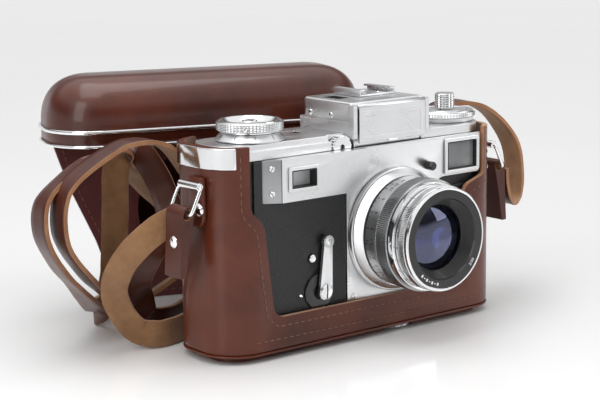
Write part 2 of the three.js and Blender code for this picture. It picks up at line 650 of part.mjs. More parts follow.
// ---- neck strap ----------------------------------------------------------------------------------
// centre line from the right ring, over and behind the camera, round the loops on the left and
// back to the left ring; each point is followed by the direction that its grain side faces
const STRAP_ROUTE = [
  [[80.5, -12, 60], [-1, 0, -0.1]], [[81.5, -12, 51], [-0.9, 0, -0.4]],
  [[86, -10, 44], [-0.5, 0, -0.8]], [[92.5, -7, 43], [0.4, 0, -0.9]],
  [[98.5, -4, 49], [0.9, 0, -0.4]], [[103, 3, 67], [1, 0, 0.2]],
  [[96, 12, 82], [0.5, 0, 0.9]], [[88, 17, 86], [0.1, 0, 1]],
  [[76, 21, 85.5], [-0.3, 0, 1]], [[64, 24, 78], [-0.7, 0, 0.7]],
  [[55, 26, 65], [-0.9, 0, 0.5]], [[47, 27, 49], [-0.9, 0, 0.5]],
  [[38, 28, 33], [-0.8, 0, 0.6]], [[27, 29, 18], [-0.7, 0, 0.7]],
  [[13, 30, 7], [-0.5, 0, 0.9]], [[-3, 31, 2.5], [0, 0, 1]],
  [[-19, 31, 5], [0.3, 0, 0.9]], [[-33, 30, 15], [0.7, 0, 0.7]],
  [[-43, 28, 30], [0.9, 0, 0.5]], [[-51, 25, 48], [0.9, 0, 0.3]],
  [[-65.5, 21, 68], [0.9, 0, 0.5]], [[-78.5, 21, 83], [0.4, 0, 0.9]],
  [[-94.5, 22, 85.5], [-0.2, 0, 1]], [[-103.5, 24, 82], [-0.5, 0, 0.9]],
  [[-120, 25, 72], [-0.9, 0, 0.4]], [[-124.5, 25, 65.5], [-1, 0, 0.1]],
  [[-124.5, 26, 50], [-1, 0, -0.2]], [[-109.5, 33, 31], [-0.7, 0, -0.7]],
  [[-98, 38, 21.5], [-0.6, 0, -0.8]], [[-86, 42, 15], [-0.3, -0.2, -0.9]],
  [[-74, 45, 14.5], [0.2, -0.3, -0.9]], [[-52.5, 46, 22.5], [0.5, -0.4, -0.8]],
  [[-43.5, 47, 24.5], [0.8, -0.2, -0.6]], [[-39, 49, 30], [1, 0.2, 0]],
  [[-40.5, 51, 36], [0.7, 0.3, 0.6]], [[-56, 52, 50.5], [0.5, 0.4, 0.7]],
  [[-66.5, 50, 59], [0.5, 0.4, 0.8]], [[-76.5, 47, 67.5], [0.4, 0.3, 0.8]],
  [[-96, 41, 77.5], [-0.2, 0, 1]], [[-116, 35, 72.5], [-0.8, 0, 0.7]],
  [[-129.5, 31, 64], [-1, 0, 0.2]], [[-131, 30, 51.5], [-1, 0, -0.2]],
  [[-120.5, 35, 35], [-0.8, 0, -0.6]], [[-111, 40, 26], [-0.7, 0, -0.7]],
  [[-100.5, 47, 16.5], [-0.6, -0.2, -0.8]], [[-90, 57, 9], [-0.6, -0.7, -0.5]],
  [[-86, 66, 6], [-1, 0.2, 0]], [[-80, 71, 6], [-0.4, 0.9, 0]],
  [[-72, 69, 6], [0.6, 0.8, 0]], [[-70, 60, 6], [1, 0, 0]],
  [[-76, 52, 8], [0.9, -0.1, 0.3]], [[-91.5, 43, 19.5], [0.9, 0.3, 0.3]],
  [[-92, 40, 30], [0.6, 0.8, -0.1]], [[-91, 39, 55], [0.6, 0.8, -0.1]],
  [[-90, 38, 74.5], [0.6, 0.6, 0.5]], [[-87.5, 36, 80], [0, 0.2, 1]],
  [[-83, 34, 80], [-0.6, -0.5, 0.6]], [[-73, 31, 63.5], [-0.6, -0.8, 0.1]],
  [[-73.5, 25, 49], [-0.6, -0.8, 0.1]], [[-85.5, 22, 39], [-0.6, -0.8, 0.1]],
  [[-89, 27, 25.5], [-0.4, -0.9, 0]], [[-84.5, 31, 17.5], [-0.1, -1, 0]],
  [[-83, 31, 10], [-0.3, -0.9, 0]], [[-72, 33, 6.5], [-0.3, -1, 0]],
  [[-48, 46, 6], [-0.5, -0.9, 0]], [[-37, 51, 6], [-0.3, -1, 0]],
  [[-26, 50, 6], [0.4, -0.9, 0]], [[-21, 42, 6], [1, -0.3, 0]],
  [[-26, 34, 6], [0.7, 0.7, 0]], [[-37, 31, 6], [-0.1, 1, 0]],
  [[-50, 30, 6], [-0.2, 1, 0]], [[-76, 18.5, 6], [-0.3, 1, 0]],
  [[-86, 17.5, 6], [0.3, 1, 0]], [[-94, 21, 8.5], [0.7, 0.7, 0.1]],
  [[-103, 22, 23.5], [0.7, 0.7, 0.1]], [[-105, 12, 39], [0.6, 0.8, -0.1]],
  [[-98, -1, 53.5], [0.6, 0.8, -0.1]], [[-88, -4.5, 58.5], [0.6, 0.8, -0.1]],
];
piece(part, 'neck_strap', strapRun(STRAP_ROUTE), SUEDE);

function strapRun(route) {
  const points = route.map(([p]) => new THREE.Vector3(...p));
  const curve = new THREE.CatmullRomCurve3(points, false, 'centripetal');
  const faces = new THREE.CatmullRomCurve3(route.map(([, n]) => new THREE.Vector3(...n)));
  curve.computeFrenetFrames = (segments) => {
    const frames = { tangents: [], normals: [], binormals: [] };
    for (let i = 0; i <= segments; i += 1) {
      const u = i / segments;
      const tangent = curve.getTangentAt(u);
      const facing = faces.getPoint(curve.getUtoTmapping(u));
      const across = new THREE.Vector3().crossVectors(tangent, facing).normalize();
      frames.tangents.push(tangent);
      frames.binormals.push(across);
      frames.normals.push(new THREE.Vector3().crossVectors(across, tangent).normalize());
    }
    return frames;
  };
  const section = polygon([
    [-STRAP.thick / 2, -STRAP.width / 2], [STRAP.thick / 2, -STRAP.width / 2],
    [STRAP.thick / 2, STRAP.width / 2], [-STRAP.thick / 2, STRAP.width / 2],
  ]);
  return new THREE.ExtrudeGeometry(section, { steps: 78, extrudePath: curve, bevelEnabled: false });
}

export default part;
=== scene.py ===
# %% [markdown]
# # A rangefinder camera in its leather half case
# The camera is a chromed metal body with a flap meter on top, standing in the lower half of its
# leather case. The neck strap lies in loops beside it and the lid of the case stands behind.
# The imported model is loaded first, as a frame that is never moved: it says where each part is and
# which body it moves with, and everything made here takes its place from it.

# %% Load the frame
import math
import random

import bpy
from mathutils import Matrix, Vector


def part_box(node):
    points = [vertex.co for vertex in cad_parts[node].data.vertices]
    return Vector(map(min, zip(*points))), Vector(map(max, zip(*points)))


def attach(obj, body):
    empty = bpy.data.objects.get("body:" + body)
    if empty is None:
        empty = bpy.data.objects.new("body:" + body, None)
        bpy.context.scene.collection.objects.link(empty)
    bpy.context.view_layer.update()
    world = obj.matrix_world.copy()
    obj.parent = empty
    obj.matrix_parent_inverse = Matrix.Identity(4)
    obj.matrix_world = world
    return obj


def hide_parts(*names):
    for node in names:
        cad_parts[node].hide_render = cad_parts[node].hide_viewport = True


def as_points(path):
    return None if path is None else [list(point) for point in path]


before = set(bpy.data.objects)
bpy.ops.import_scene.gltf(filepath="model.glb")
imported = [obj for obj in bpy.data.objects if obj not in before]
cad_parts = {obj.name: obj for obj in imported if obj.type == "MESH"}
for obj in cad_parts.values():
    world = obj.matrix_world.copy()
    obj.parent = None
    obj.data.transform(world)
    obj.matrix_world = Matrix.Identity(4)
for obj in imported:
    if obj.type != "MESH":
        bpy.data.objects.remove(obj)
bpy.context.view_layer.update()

MM = 0.001

# %% [markdown]
# ## One origin for the camera
# A maker measures a camera from a few drawing lines. The front plate's box gives the face of the
# body and its middle, so at(x, y, z) turns drawing measures in millimetres into places in the
# frame. The lens has its own axis, which the flange's box gives, and lens_at() measures from it.
# The case lid was drawn on its own centre line and stands turned, so it gets one more origin.

# %% Places on the camera, on the lens and on the lid
PLATE_LEFT, PLATE_BELOW = 20, 40
FLANGE_REACH = 10.6
plate_low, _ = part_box("front_plate")
BODY = plate_low + Vector((PLATE_LEFT, 0, PLATE_BELOW)) * MM
flange_low, flange_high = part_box("lens_flange")
LENS = Vector((
    (flange_low.x + flange_high.x) / 2,
    flange_low.y + FLANGE_REACH * MM,
    (flange_low.z + flange_high.z) / 2,
))
trim_low, trim_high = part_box("lid_trim")
LID_CENTRE = (trim_low + trim_high) / 2
LID_TURN = math.radians(-18.5)
LID_RIM = trim_high.z / MM


def at(x, y, z):
    return BODY + Vector((x, y, z)) * MM


def lens_at(x, y, z):
    return LENS + Vector((x, y, z)) * MM


def on_lid(x, y, z):
    turned = Matrix.Rotation(LID_TURN, 3, "Z") @ Vector((x, y, 0)) * MM
    return Vector((LID_CENTRE.x + turned.x, LID_CENTRE.y + turned.y, z * MM))


print("lens axis at", [round(v / MM, 1) for v in LENS], "mm")

# %% [markdown]
# ## The camera that looks at the scene
# A longer lens, of nearly 100 mm on a full frame, keeps the body's edges almost parallel. It stands
# to the left of the object and a little above it, and is rolled by less than a degree.

# %% Set up the view
VIEW_PLACE = Vector((-444.6, -530.5, 183.6)) * MM
VIEW_AZIMUTH = math.radians(38.37)
VIEW_DROP = math.radians(10.64)
VIEW_ROLL = math.radians(-0.71)

view_data = bpy.data.cameras.new("studio_view")
view_data.lens = 98.7
view_data.sensor_width = 36.0
view_data.clip_start = 0.01
view_data.clip_end = 20.0
view = bpy.data.objects.new("studio_view", view_data)
bpy.context.scene.collection.objects.link(view)
ahead = Vector((
    math.sin(VIEW_AZIMUTH) * math.cos(VIEW_DROP),
    math.cos(VIEW_AZIMUTH) * math.cos(VIEW_DROP),
    -math.sin(VIEW_DROP),
))
level = Vector((math.cos(VIEW_AZIMUTH), -math.sin(VIEW_AZIMUTH), 0))
upright = level.cross(ahead)
right = level * math.cos(VIEW_ROLL) + upright * math.sin(VIEW_ROLL)
top = upright * math.cos(VIEW_ROLL) - level * math.sin(VIEW_ROLL)
view.matrix_world = Matrix((
    (right.x, top.x, -ahead.x, VIEW_PLACE.x),
    (right.y, top.y, -ahead.y, VIEW_PLACE.y),
    (right.z, top.z, -ahead.z, VIEW_PLACE.z),
    (0, 0, 0, 1),
))
bpy.context.scene.camera = view
print("view from", [round(v / MM) for v in VIEW_PLACE], "mm")

# %% [markdown]
# ## Writing materials as sums
# A finish is easier to read as arithmetic than as a tangle of nodes. Tone wraps one socket, and its
# operators add Math nodes. Finish holds one material and makes any other node.

# %% A small shader language
class Tone:
    def __init__(self, finish, socket):
        self.finish = finish
        self.socket = socket

    def _math(self, operation, *values):
        return self.finish.node("ShaderNodeMath", {"operation": operation}, dict(enumerate(values)))

    def __add__(self, other):
        return self._math("ADD", self, other)

    def __radd__(self, other):
        return self._math("ADD", other, self)

    def __sub__(self, other):
        return self._math("SUBTRACT", self, other)

    def __rsub__(self, other):
        return self._math("SUBTRACT", other, self)

    def __mul__(self, other):
        return self._math("MULTIPLY", self, other)

    def __rmul__(self, other):
        return self._math("MULTIPLY", other, self)

    def __truediv__(self, other):
        return self._math("DIVIDE", self, other)

    def over(self, edge):
        return self._math("GREATER_THAN", self, edge)


class Finish:
    def __init__(self, name):
        self.material = bpy.data.materials.new(name)
        self.material.use_nodes = True
        self.tree = self.material.node_tree
        self.shader = self.tree.nodes["Principled BSDF"]
        self.place = self.node("ShaderNodeTexCoord", {}, {}, "Object")

    def node(self, kind, settings, inputs, output=0):
        made = self.tree.nodes.new(kind)
        for key, value in settings.items():
            if key == "stops":
                ramp = made.color_ramp
                while len(ramp.elements) < len(value):
                    ramp.elements.new(1.0)
                for element, (spot, colour) in zip(ramp.elements, value):
                    element.position = spot
                    element.color = (*colour, 1)
            else:
                setattr(made, key, value)
        for key, value in inputs.items():
            if isinstance(value, Tone):
                self.tree.links.new(value.socket, made.inputs[key])
            else:
                made.inputs[key].default_value = value
        return Tone(self, made.outputs[output])

    def noise(self, scale, detail=3.0, rough=0.5, where=None):
        inputs = {"Vector": where or self.place, "Scale": scale, "Detail": detail, "Roughness": rough}
        return self.node("ShaderNodeTexNoise", {}, inputs, "Fac")

    def cells(self, scale, feature="F1", where=None, output="Distance"):
        inputs = {"Vector": where or self.place, "Scale": scale}
        return self.node("ShaderNodeTexVoronoi", {"feature": feature}, inputs, output)

    def ramp(self, value, stops):
        return self.node("ShaderNodeValToRGB", {"stops": stops}, {"Fac": value}, "Color")

    def blend(self, amount, first, second):
        settings = {"data_type": "RGBA"}
        colours = [(*c, 1) if isinstance(c, tuple) else c for c in (first, second)]
        inputs = {0: amount, 6: colours[0], 7: colours[1]}
        return self.node("ShaderNodeMix", settings, inputs, 2)

    def bump(self, height, distance, strength=1.0):
        inputs = {"Height": height, "Distance": distance, "Strength": strength}
        return self.node("ShaderNodeBump", {}, inputs, "Normal")

    def apart(self, vector=None):
        made = self.tree.nodes.new("ShaderNodeSeparateXYZ")
        self.tree.links.new((vector or self.place).socket, made.inputs[0])
        return [Tone(self, out) for out in made.outputs]

    def stretched(self, sizes):
        return self.node("ShaderNodeMapping", {}, {"Vector": self.place, "Scale": sizes})

    def put(self, **looks):
        for key, value in looks.items():
            socket = self.shader.inputs[key.replace("_", " ")]
            if isinstance(value, Tone):
                self.tree.links.new(value.socket, socket)
            elif isinstance(value, tuple):
                socket.default_value = (*value, 1)
            else:
                socket.default_value = value
        return self.material


# %% [markdown]
# ## Metal finishes
# The body is frosted chrome: hard and bright, with a fine sandy grain that softens its highlights.
# Rims and screws are polished. Both carry faint handling marks, which are broad patches of slightly
# higher roughness. The casting behind the arm is bare grey metal.

# %% Chrome, casting and enamel
def chrome(name, colour, low, high, grain, depth):
    look = Finish(name)
    haze = look.noise(90.0, 4.0)
    smear = look.noise(900.0, 2.0, where=look.stretched((1.0, 1.0, 6.0)))
    fine = look.noise(grain, 2.0)
    tint = look.ramp(haze, [(0.3, tuple(c * 0.93 for c in colour)), (0.7, colour)])
    return look.put(
        Base_Color=tint, Metallic=1.0, Roughness=low + haze * (high - low) + smear * 0.03,
        Normal=look.bump(fine, depth),
    )


SATIN = chrome("satin_chrome", (0.77, 0.775, 0.785), 0.20, 0.36, 9000.0, 0.00001)
POLISHED = chrome("polished_chrome", (0.86, 0.865, 0.875), 0.03, 0.12, 2500.0, 0.000002)
BRUSHED = chrome("ring_chrome", (0.74, 0.745, 0.75), 0.16, 0.28, 6000.0, 0.000006)
GRIP = chrome("grip_chrome", (0.44, 0.445, 0.45), 0.22, 0.34, 6000.0, 0.000006)
CAST = chrome("grey_casting", (0.42, 0.43, 0.44), 0.38, 0.55, 3000.0, 0.00003)


def enamel(name, colour, gloss):
    look = Finish(name)
    dust = look.noise(1500.0, 3.0)
    patch = look.noise(120.0, 2.0)
    worn = dust.over(0.72) * 0.5
    return look.put(
        Base_Color=look.blend(worn, colour, tuple(c * 2 + 0.02 for c in colour)),
        Roughness=gloss + patch * 0.12, Coat_Weight=0.3,
        Normal=look.bump(dust, 0.000004),
    )


BLACK = enamel("black_enamel", (0.008, 0.008, 0.009), 0.18)
MATT_BLACK = enamel("matt_black", (0.012, 0.012, 0.012), 0.55)
INK = enamel("black_ink", (0.006, 0.006, 0.006), 0.4)
RED_INK = enamel("red_ink", (0.55, 0.02, 0.015), 0.4)
WHITE_INK = enamel("white_ink", (0.8, 0.8, 0.78), 0.5)
FILM_TIN = enamel("film_tin", (0.12, 0.11, 0.03), 0.4)

# %% [markdown]
# ## Leather finishes
# The case is smooth cowhide, polished and lacquered: a deep red brown with darker patches where
# it has been handled, pale scuffs, fine pores and a clear coat. Its cut edges and its inside are raw
# and pale. The camera's own covering is black leatherette, with a raised pebble.

# %% Leather, suede and leatherette
def case_leather(name, dark, mid, light, coat):
    look = Finish(name)
    tone = look.noise(28.0, 6.0, 0.6)
    pores = look.cells(2600.0)
    crease = look.noise(260.0, 5.0, 0.65)
    scuff = look.noise(700.0, 8.0, 0.75).over(0.66)
    colour = look.ramp(tone, [(0.25, dark), (0.5, mid), (0.78, light)])
    scuffed = look.blend(scuff * 0.2, colour, (0.26, 0.10, 0.055))
    return look.put(
        Base_Color=scuffed, Roughness=0.26 + crease * 0.16 + scuff * 0.2,
        Coat_Weight=coat, Coat_Roughness=0.1, Specular_IOR_Level=0.32,
        Normal=look.bump(pores * 0.35 + crease, 0.00012, 0.5),
    )


CASE = case_leather(
    "case_leather", (0.040, 0.0085, 0.0035), (0.092, 0.0185, 0.0075), (0.14, 0.033, 0.0135), 0.16
)
LID_SKIN = case_leather(
    "lid_leather", (0.024, 0.005, 0.0025), (0.066, 0.0125, 0.0055), (0.115, 0.024, 0.010), 0.3
)
GRAIN = case_leather("strap_grain", (0.036, 0.008, 0.005), (0.068, 0.017, 0.010), (0.11, 0.036, 0.020), 0.08)


def raw_leather(name, dark, light, rough):
    look = Finish(name)
    patch = look.noise(120.0, 5.0, 0.6)
    nap = look.noise(3200.0, 4.0, 0.7)
    fibre = look.noise(1400.0, 6.0, 0.8, where=look.stretched((1.0, 1.0, 0.35)))
    colour = look.ramp(patch * 0.6 + nap * 0.4, [(0.3, dark), (0.7, light)])
    return look.put(
        Base_Color=colour, Roughness=rough, Sheen_Weight=0.25, Sheen_Roughness=0.5,
        Normal=look.bump(nap + fibre * 0.7, 0.00016, 0.7),
    )


SUEDE = raw_leather("strap_suede", (0.155, 0.070, 0.026), (0.32, 0.165, 0.072), 0.92)
RAW_EDGE = raw_leather("raw_edge", (0.25, 0.10, 0.04), (0.42, 0.20, 0.09), 0.8)
INSIDE = raw_leather("case_inside", (0.10, 0.045, 0.025), (0.20, 0.095, 0.05), 0.9)
LINING = raw_leather("lid_lining", (0.055, 0.006, 0.006), (0.115, 0.016, 0.013), 0.85)
THREAD = raw_leather("linen_thread", (0.10, 0.042, 0.022), (0.22, 0.11, 0.06), 0.8)


def leatherette(name):
    look = Finish(name)
    pebble = look.cells(1150.0, "SMOOTH_F1")
    wrinkle = look.noise(1900.0, 3.0)
    rub = look.noise(70.0, 3.0)
    # Painted shade: the base colour is darker in the valleys between the pebbles and lighter on their raised
    # tops.
    return look.put(
        Base_Color=look.ramp(pebble, [(0.0, (0.012, 0.012, 0.013)), (0.8, (0.004, 0.004, 0.004))]),
        Roughness=0.36 + rub * 0.14, Normal=look.bump(1.0 - pebble + wrinkle * 0.25, 0.0002, 0.9),
    )


PEBBLE = leatherette("black_leatherette")

# %% [markdown]
# ## Glass
# A coated lens looks dark with a violet or amber sheen, because each surface reflects a little tinted
# light and passes the rest. Thin tinted glass is made here as a mix of a clear shader and a glossy
# one, by how steeply the surface is seen, which is plain gloss and holds from every side.

# %% Coated and plain glass
def glass(name, tint, mirror, share):
    look = Finish(name)
    smudge = look.noise(160.0, 4.0)
    facing = look.node("ShaderNodeLayerWeight", {}, {"Blend": share}, "Fresnel")
    clear = look.node("ShaderNodeBsdfTransparent", {}, {"Color": (*tint, 1)})
    sheen = look.node("ShaderNodeBsdfGlossy", {}, {"Color": (*mirror, 1), "Roughness": smudge * 0.06})
    mixed = look.node("ShaderNodeMixShader", {}, {0: facing + smudge * 0.02, 1: clear, 2: sheen})
    out = look.tree.nodes["Material Output"]
    look.tree.links.new(mixed.socket, out.inputs["Surface"])
    return look.material


COATED = glass("coated_glass", (0.74, 0.75, 0.82), (0.44, 0.47, 0.70), 0.62)
AMBER = glass("amber_glass", (0.93, 0.80, 0.62), (1.0, 0.58, 0.26), 0.68)
PANE = glass("window_glass", (0.92, 0.94, 0.95), (0.9, 0.93, 0.95), 0.45)


def frosted(name, low, high):
    look = Finish(name)
    cloud = look.noise(60.0, 3.0)
    _, _, height = look.apart()
    return look.put(
        Base_Color=look.ramp(cloud, [(0.3, low), (0.7, high)]), Roughness=0.12 + cloud * 0.1,
        Normal=look.bump(cloud + height, 0.00001),
    )


FINDER_GREY = frosted("finder_grey", (0.16, 0.165, 0.17), (0.30, 0.305, 0.31))
FINDER_PALE = frosted("finder_pale", (0.42, 0.43, 0.44), (0.66, 0.67, 0.68))


def selenium():
    look = Finish("selenium_cell")
    comb = look.cells(420.0, "DISTANCE_TO_EDGE")
    wall = comb.over(0.1)
    return look.put(
        Base_Color=look.blend(wall, (0.25, 0.22, 0.2), (0.035, 0.022, 0.02)),
        Roughness=0.2 + wall * 0.1, Normal=look.bump(comb, 0.0004),
    )


SELENIUM = selenium()
print(len(bpy.data.materials), "finishes made")

# %% [markdown]
# ## Tools for making pieces
# Most of the camera is turned or pressed metal, so three ways of making a piece are enough: a
# profile spun round an axis, a flat outline raised to a thickness with its edges rounded off, and
# rings of points joined into a skin. Each works with Blender's own operators, and leaves a closed
# mesh with its place in its vertices.

# %% Mesh tools
def nothing_selected():
    if bpy.context.mode != "OBJECT":
        bpy.ops.object.mode_set(mode="OBJECT")
    bpy.ops.object.select_all(action="DESELECT")


def only(obj):
    nothing_selected()
    obj.select_set(True)
    bpy.context.view_layer.objects.active = obj


def mesh_piece(name, points, edges=(), faces=()):
    mesh = bpy.data.meshes.new(name)
    mesh.from_pydata([tuple(p) for p in points], list(edges), list(faces))
    mesh.update()
    obj = bpy.data.objects.new(name, mesh)
    bpy.context.scene.collection.objects.link(obj)
    return obj


def tidy(obj, merge=0.00001):
    only(obj)
    bpy.ops.object.mode_set(mode="EDIT")
    bpy.ops.mesh.select_all(action="SELECT")
    bpy.ops.mesh.remove_doubles(threshold=merge)
    bpy.ops.mesh.normals_make_consistent(inside=False)
    bpy.ops.object.mode_set(mode="OBJECT")
    return obj


def smooth(obj, degrees=35):
    only(obj)
    bpy.ops.object.shade_smooth_by_angle(angle=math.radians(degrees))
    return obj


def apply_all(obj):
    only(obj)
    for modifier in list(obj.modifiers):
        bpy.ops.object.modifier_apply(modifier=modifier.name)
    return obj


def soften(obj, width, segments=2, angle=40):
    bevel = obj.modifiers.new("rounded", "BEVEL")
    bevel.width = width * MM
    bevel.segments = segments
    bevel.limit_method = "ANGLE"
    bevel.angle_limit = math.radians(angle)
    return smooth(apply_all(obj))


def spun(name, profile, centre, axis=(0, 1, 0), steps=96, closed=True, material=None):
    """profile: (radius, distance along the axis) in mm; centre: a place in the frame."""
    axis = Vector(axis).normalized()
    side = Vector((1, 0, 0)) if abs(axis.x) < 0.5 else Vector((0, 0, 1))
    side = (side - axis * side.dot(axis)).normalized()
    points = [centre + (side * r + axis * d) * MM for r, d in profile]
    count = len(points)
    edges = [(i, (i + 1) % count) for i in range(count if closed else count - 1)]
    obj = mesh_piece(name, points, edges)
    only(obj)
    bpy.ops.object.mode_set(mode="EDIT")
    bpy.ops.mesh.select_all(action="SELECT")
    bpy.ops.mesh.spin(steps=steps, angle=2 * math.pi, center=centre, axis=axis)
    bpy.ops.object.mode_set(mode="OBJECT")
    tidy(obj)
    if material:
        obj.data.materials.append(material)
    return smooth(obj, 28)


def rounded(x0, x1, y0, y1, radii, steps=8):
    """Rounded rectangle; radii for the corners at (x0, y0), (x1, y0), (x1, y1), (x0, y1)."""
    if not isinstance(radii, (list, tuple)):
        radii = [radii] * 4
    corners = [(x0, y0, 1, 1, 180), (x1, y0, -1, 1, 270), (x1, y1, -1, -1, 0), (x0, y1, 1, -1, 90)]
    outline = []
    for (x, y, dx, dy, start), r in zip(corners, radii):
        if r <= 0:
            outline.append((x, y))
            continue
        for i in range(steps + 1):
            a = math.radians(start + 90 * i / steps)
            outline.append((x + dx * r + r * math.cos(a), y + dy * r + r * math.sin(a)))
    return outline


def circle(x, y, r, steps=24):
    return [
        (x + r * math.cos(2 * math.pi * i / steps), y + r * math.sin(2 * math.pi * i / steps))
        for i in range(steps)
    ]


PLANES = {
    "front": (lambda u, v, d: (u, d, v), Vector((0, 1, 0))),
    "top": (lambda u, v, d: (u, v, d), Vector((0, 0, 1))),
    "side": (lambda u, v, d: (d, u, v), Vector((1, 0, 0))),
}


def slab(name, outline, plane, low, high, edge=0.0, segments=2, material=None, place=at):
    """A flat outline in mm, raised from low to high along the plane's normal."""
    lay, _ = PLANES[plane]
    obj = mesh_piece(name, [place(*lay(u, v, low)) for u, v in outline], faces=[range(len(outline))])
    only(obj)
    bpy.ops.object.mode_set(mode="EDIT")
    bpy.ops.mesh.select_all(action="SELECT")
    lift = place(*lay(0, 0, high)) - place(*lay(0, 0, low))
    bpy.ops.mesh.extrude_region_move(TRANSFORM_OT_translate={"value": lift})
    bpy.ops.object.mode_set(mode="OBJECT")
    tidy(obj)
    if material:
        obj.data.materials.append(material)
    return soften(obj, edge, segments) if edge else smooth(obj)


def carve(obj, *cutters, operation="DIFFERENCE"):
    for cutter in cutters:
        boolean = obj.modifiers.new("cut", "BOOLEAN")
        boolean.operation = operation
        boolean.solver = "EXACT"
        boolean.material_mode = "TRANSFER"
        boolean.object = cutter
        apply_all(obj)
        bpy.data.objects.remove(cutter)
    return obj


def join(name, *objs):
    """One object out of several, each with its own materials."""
    nothing_selected()
    for obj in objs:
        obj.select_set(True)
    bpy.context.view_layer.objects.active = objs[0]
    bpy.ops.object.join()
    objs[0].name = name
    return objs[0]


def loft(name, rings, material=None, cap=True):
    count = len(rings[0])
    points = [p for ring in rings for p in ring]
    faces = []
    for k in range(len(rings) - 1):
        for i in range(count):
            j = (i + 1) % count
            faces.append((k * count + i, k * count + j, (k + 1) * count + j, (k + 1) * count + i))
    if cap:
        faces.append(tuple(range(count))[::-1])
        faces.append(tuple(range((len(rings) - 1) * count, len(rings) * count)))
    obj = tidy(mesh_piece(name, points, faces=faces))
    if material:
        obj.data.materials.append(material)
    return smooth(obj, 40)


def wire(name, points, radius, closed=False, material=None, sides=3):
    curve = bpy.data.curves.new(name, "CURVE")
    curve.dimensions = "3D"
    curve.bevel_depth = radius * MM
    curve.bevel_resolution = sides
    curve.use_fill_caps = True
    line = curve.splines.new("NURBS")
    line.points.add(len(points) - 1)
    for point, spot in zip(line.points, points):
        point.co = (*spot, 1)
    line.use_cyclic_u = closed
    line.use_endpoint_u = not closed
    line.order_u = 3
    line.resolution_u = 6
    obj = bpy.data.objects.new(name, curve)
    bpy.context.scene.collection.objects.link(obj)
    only(obj)
    bpy.ops.object.convert(target="MESH")
    obj = bpy.context.view_layer.objects.active
    tidy(obj)
    if material:
        obj.data.materials.append(material)
    return smooth(obj, 60)


def fit(obj, body, finish_slot, *nodes):
    """The finished piece rides on a body and stands for its CAD nodes; finish_slot is not used."""
    if nodes:
        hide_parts(*nodes)
    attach(obj, body)
    return obj


def paint(node, material):
    """A CAD node whose shape is right keeps it, and gets the finish."""
    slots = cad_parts[node].data.materials
    slots.clear()
    slots.append(material)


# %% [markdown]
# ## Knurling
# Grips are knurled, by rolling a pattern of small pyramids or straight ribs into the metal. A band
# is spun from a few rings of points, then every second point is pushed outwards in code, which makes
# real pyramids that catch the light and show in the outline.

# %% Knurled bands
def knurled(name, centre, axis, radius, low, high, count, rows, depth, inner, material, chamfer=0.3):
    """A ring with count teeth round it and rows of them along it; rows 0 makes straight ribs."""
    steps = count * 2
    levels = max(rows * 2, 1)
    profile = [(inner, low), (radius - chamfer, low)]
    profile += [(radius, low + chamfer + (high - low - 2 * chamfer) * k / levels) for k in range(levels + 1)]
    profile += [(radius - chamfer, high), (inner, high)]
    obj = spun(name, profile, centre, axis, steps, material=material)
    along = Vector(axis)
    pitch = 2 * math.pi / steps
    row = (high - low - 2 * chamfer) / levels
    base = Vector((1, 0, 0)) if abs(along.x) < 0.5 else Vector((0, 0, 1))
    third = along.cross(base)
    for vertex in obj.data.vertices:
        arm = vertex.co - centre
        d = arm.dot(along) / MM
        out = arm - along * arm.dot(along)
        if abs(out.length / MM - radius) > 0.01:
            continue
        turn = math.atan2(out.dot(third), out.dot(base))
        tooth = round(turn / pitch) % 2
        level = round((d - low - chamfer) / row) % 2 if rows else tooth
        if tooth and level:
            vertex.co += out.normalized() * depth * MM
    only(obj)
    bpy.ops.object.shade_flat()
    return obj


# %% [markdown]
# ## Numbers and marks
# Dials are engraved and filled with ink. Each number is a text object turned into a thin mesh. It is
# laid flat in the scale's own coordinates, then wrapped round the dial by moving its points.

# %% Numbers wrapped round a dial
def letters(text, size, material):
    curve = bpy.data.curves.new("number", "FONT")
    curve.body = text
    curve.size = size
    curve.align_x = "CENTER"
    curve.align_y = "CENTER"
    curve.extrude = 0.03
    curve.resolution_u = 3
    obj = bpy.data.objects.new("number", curve)
    bpy.context.scene.collection.objects.link(obj)
    only(obj)
    bpy.ops.object.convert(target="MESH")
    obj = bpy.context.view_layer.objects.active
    obj.data.materials.clear()
    obj.data.materials.append(material)
    return obj


def tick(width, height, material, x=0.0, y=0.0):
    corners = [
        (-width / 2, -height / 2), (width / 2, -height / 2), (width / 2, height / 2),
        (-width / 2, height / 2)
    ]
    points = [(x + u, y + v, d) for d in (-0.03, 0.03) for u, v in corners]
    faces = [(3, 2, 1, 0), (4, 5, 6, 7), (0, 1, 5, 4), (1, 2, 6, 5), (2, 3, 7, 6), (3, 0, 4, 7)]
    obj = mesh_piece("tick", points, faces=faces)
    obj.data.materials.append(material)
    return obj


def wrap(obj, warp):
    for vertex in obj.data.vertices:
        vertex.co = warp(*vertex.co)
    return obj


def round_lens(angle, y, radius, slope=0.0, quarter=False):
    """Warp for marks round the lens axis: text x runs round, or along the axis if quarter."""
    def warp(u, v, d):
        if quarter:
            u, v = v, -u
        a = math.radians(angle) + u / radius
        r = radius + d + v * slope
        return lens_at(r * math.sin(a), y + v, r * math.cos(a))
    return warp


print("tools ready")

# %% [markdown]
# ## The neck strap
# One long strap of soft leather, 11 mm wide, runs from the right ring over and behind the camera,
# falls into loops on the left and comes back to the left ring. Its grain side is brown and its other
# side is suede. It is a flat band, so its section is carried along the route by the direction
# that the grain side faces at each point.

